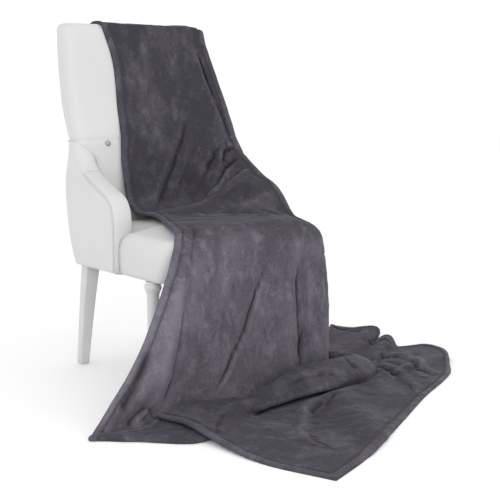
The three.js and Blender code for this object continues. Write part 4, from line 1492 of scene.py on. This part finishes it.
class StageSettings(bpy.types.PropertyGroup):
    floor_colour: FloatVectorProperty(name="Floor colour", description="Tone of the pale floor",
                                      default=(0.97, 0.97, 0.97), subtype="COLOR", min=0, max=1)
    world_strength: FloatProperty(name="Surrounding light", description="Even light all round",
                                  default=1.04, min=0, max=4)
    key_power: FloatProperty(name="Key lamp", description="Power of the lamp at the left",
                             default=34.0, min=0, max=1000, unit="POWER")
    fill_power: FloatProperty(name="Fill lamp", description="Power of the lamp at the right",
                              default=8.0, min=0, max=1000, unit="POWER")


class FLEECE_OT_stage(bpy.types.Operator):
    """Add the camera, the floor and the lamps"""

    bl_idname = "fleece.stage"
    bl_label = "Stage"

    def execute(self, context):
        make_stage(context.scene.fleece_stage)
        return {"FINISHED"}


class FLEECE_OT_blanket(bpy.types.Operator):
    """Add the draped blanket with its hem"""

    bl_idname = "fleece.blanket"
    bl_label = "Blanket"

    def execute(self, context):
        piece, stitches = make_blanket(context.scene.fleece_blanket)
        return {"FINISHED"}


class FLEECE_OT_back(bpy.types.Operator):
    """Add the chair's upholstered back and its button"""

    bl_idname = "fleece.back"
    bl_label = "Back"

    def execute(self, context):
        make_back(context.scene.fleece_chair)
        make_button(context.scene.fleece_chair)
        return {"FINISHED"}


class FLEECE_OT_seat(bpy.types.Operator):
    """Add the chair's upholstered seat"""

    bl_idname = "fleece.seat"
    bl_label = "Seat"

    def execute(self, context):
        make_seat(context.scene.fleece_chair)
        return {"FINISHED"}


class FLEECE_OT_arms(bpy.types.Operator):
    """Add the arms and their piping"""

    bl_idname = "fleece.arms"
    bl_label = "Arms"

    def execute(self, context):
        settings = context.scene.fleece_chair
        make_arm("arm_left", -1, settings)
        make_arm("arm_right", 1, settings)
        make_piping(settings)
        return {"FINISHED"}


class FLEECE_OT_legs(bpy.types.Operator):
    """Add the painted legs"""

    bl_idname = "fleece.legs"
    bl_label = "Legs"

    def execute(self, context):
        settings = context.scene.fleece_chair
        for word, side in (("left", -1), ("right", 1)):
            make_rear_leg("leg_rear_" + word, side, settings)
            make_front_leg("leg_front_" + word, side, settings)
        return {"FINISHED"}


class FLEECE_PT_panel(bpy.types.Panel):
    bl_idname = "FLEECE_PT_panel"
    bl_label = "Draped blanket"
    bl_space_type = "VIEW_3D"
    bl_region_type = "UI"
    bl_category = "Blanket"

    def draw(self, context):
        for operator in OPERATORS:
            self.layout.operator(operator.bl_idname)


OPERATORS = (FLEECE_OT_stage, FLEECE_OT_seat, FLEECE_OT_back, FLEECE_OT_arms, FLEECE_OT_legs,
             FLEECE_OT_blanket)
GROUPS = {"fleece_blanket": BlanketSettings, "fleece_chair": ChairSettings,
          "fleece_stage": StageSettings}


def register():
    for cls in (*GROUPS.values(), *OPERATORS, FLEECE_PT_panel):
        bpy.utils.register_class(cls)
    for name, group in GROUPS.items():
        setattr(bpy.types.Scene, name, PointerProperty(type=group))


def unregister():
    for name in GROUPS:
        delattr(bpy.types.Scene, name)
    for cls in reversed((*GROUPS.values(), *OPERATORS, FLEECE_PT_panel)):
        bpy.utils.unregister_class(cls)


def main():
    register()
    for operator in OPERATORS:
        group, name = operator.bl_idname.split(".")
        getattr(getattr(bpy.ops, group), name)()


if __name__ == "__main__":
    main()
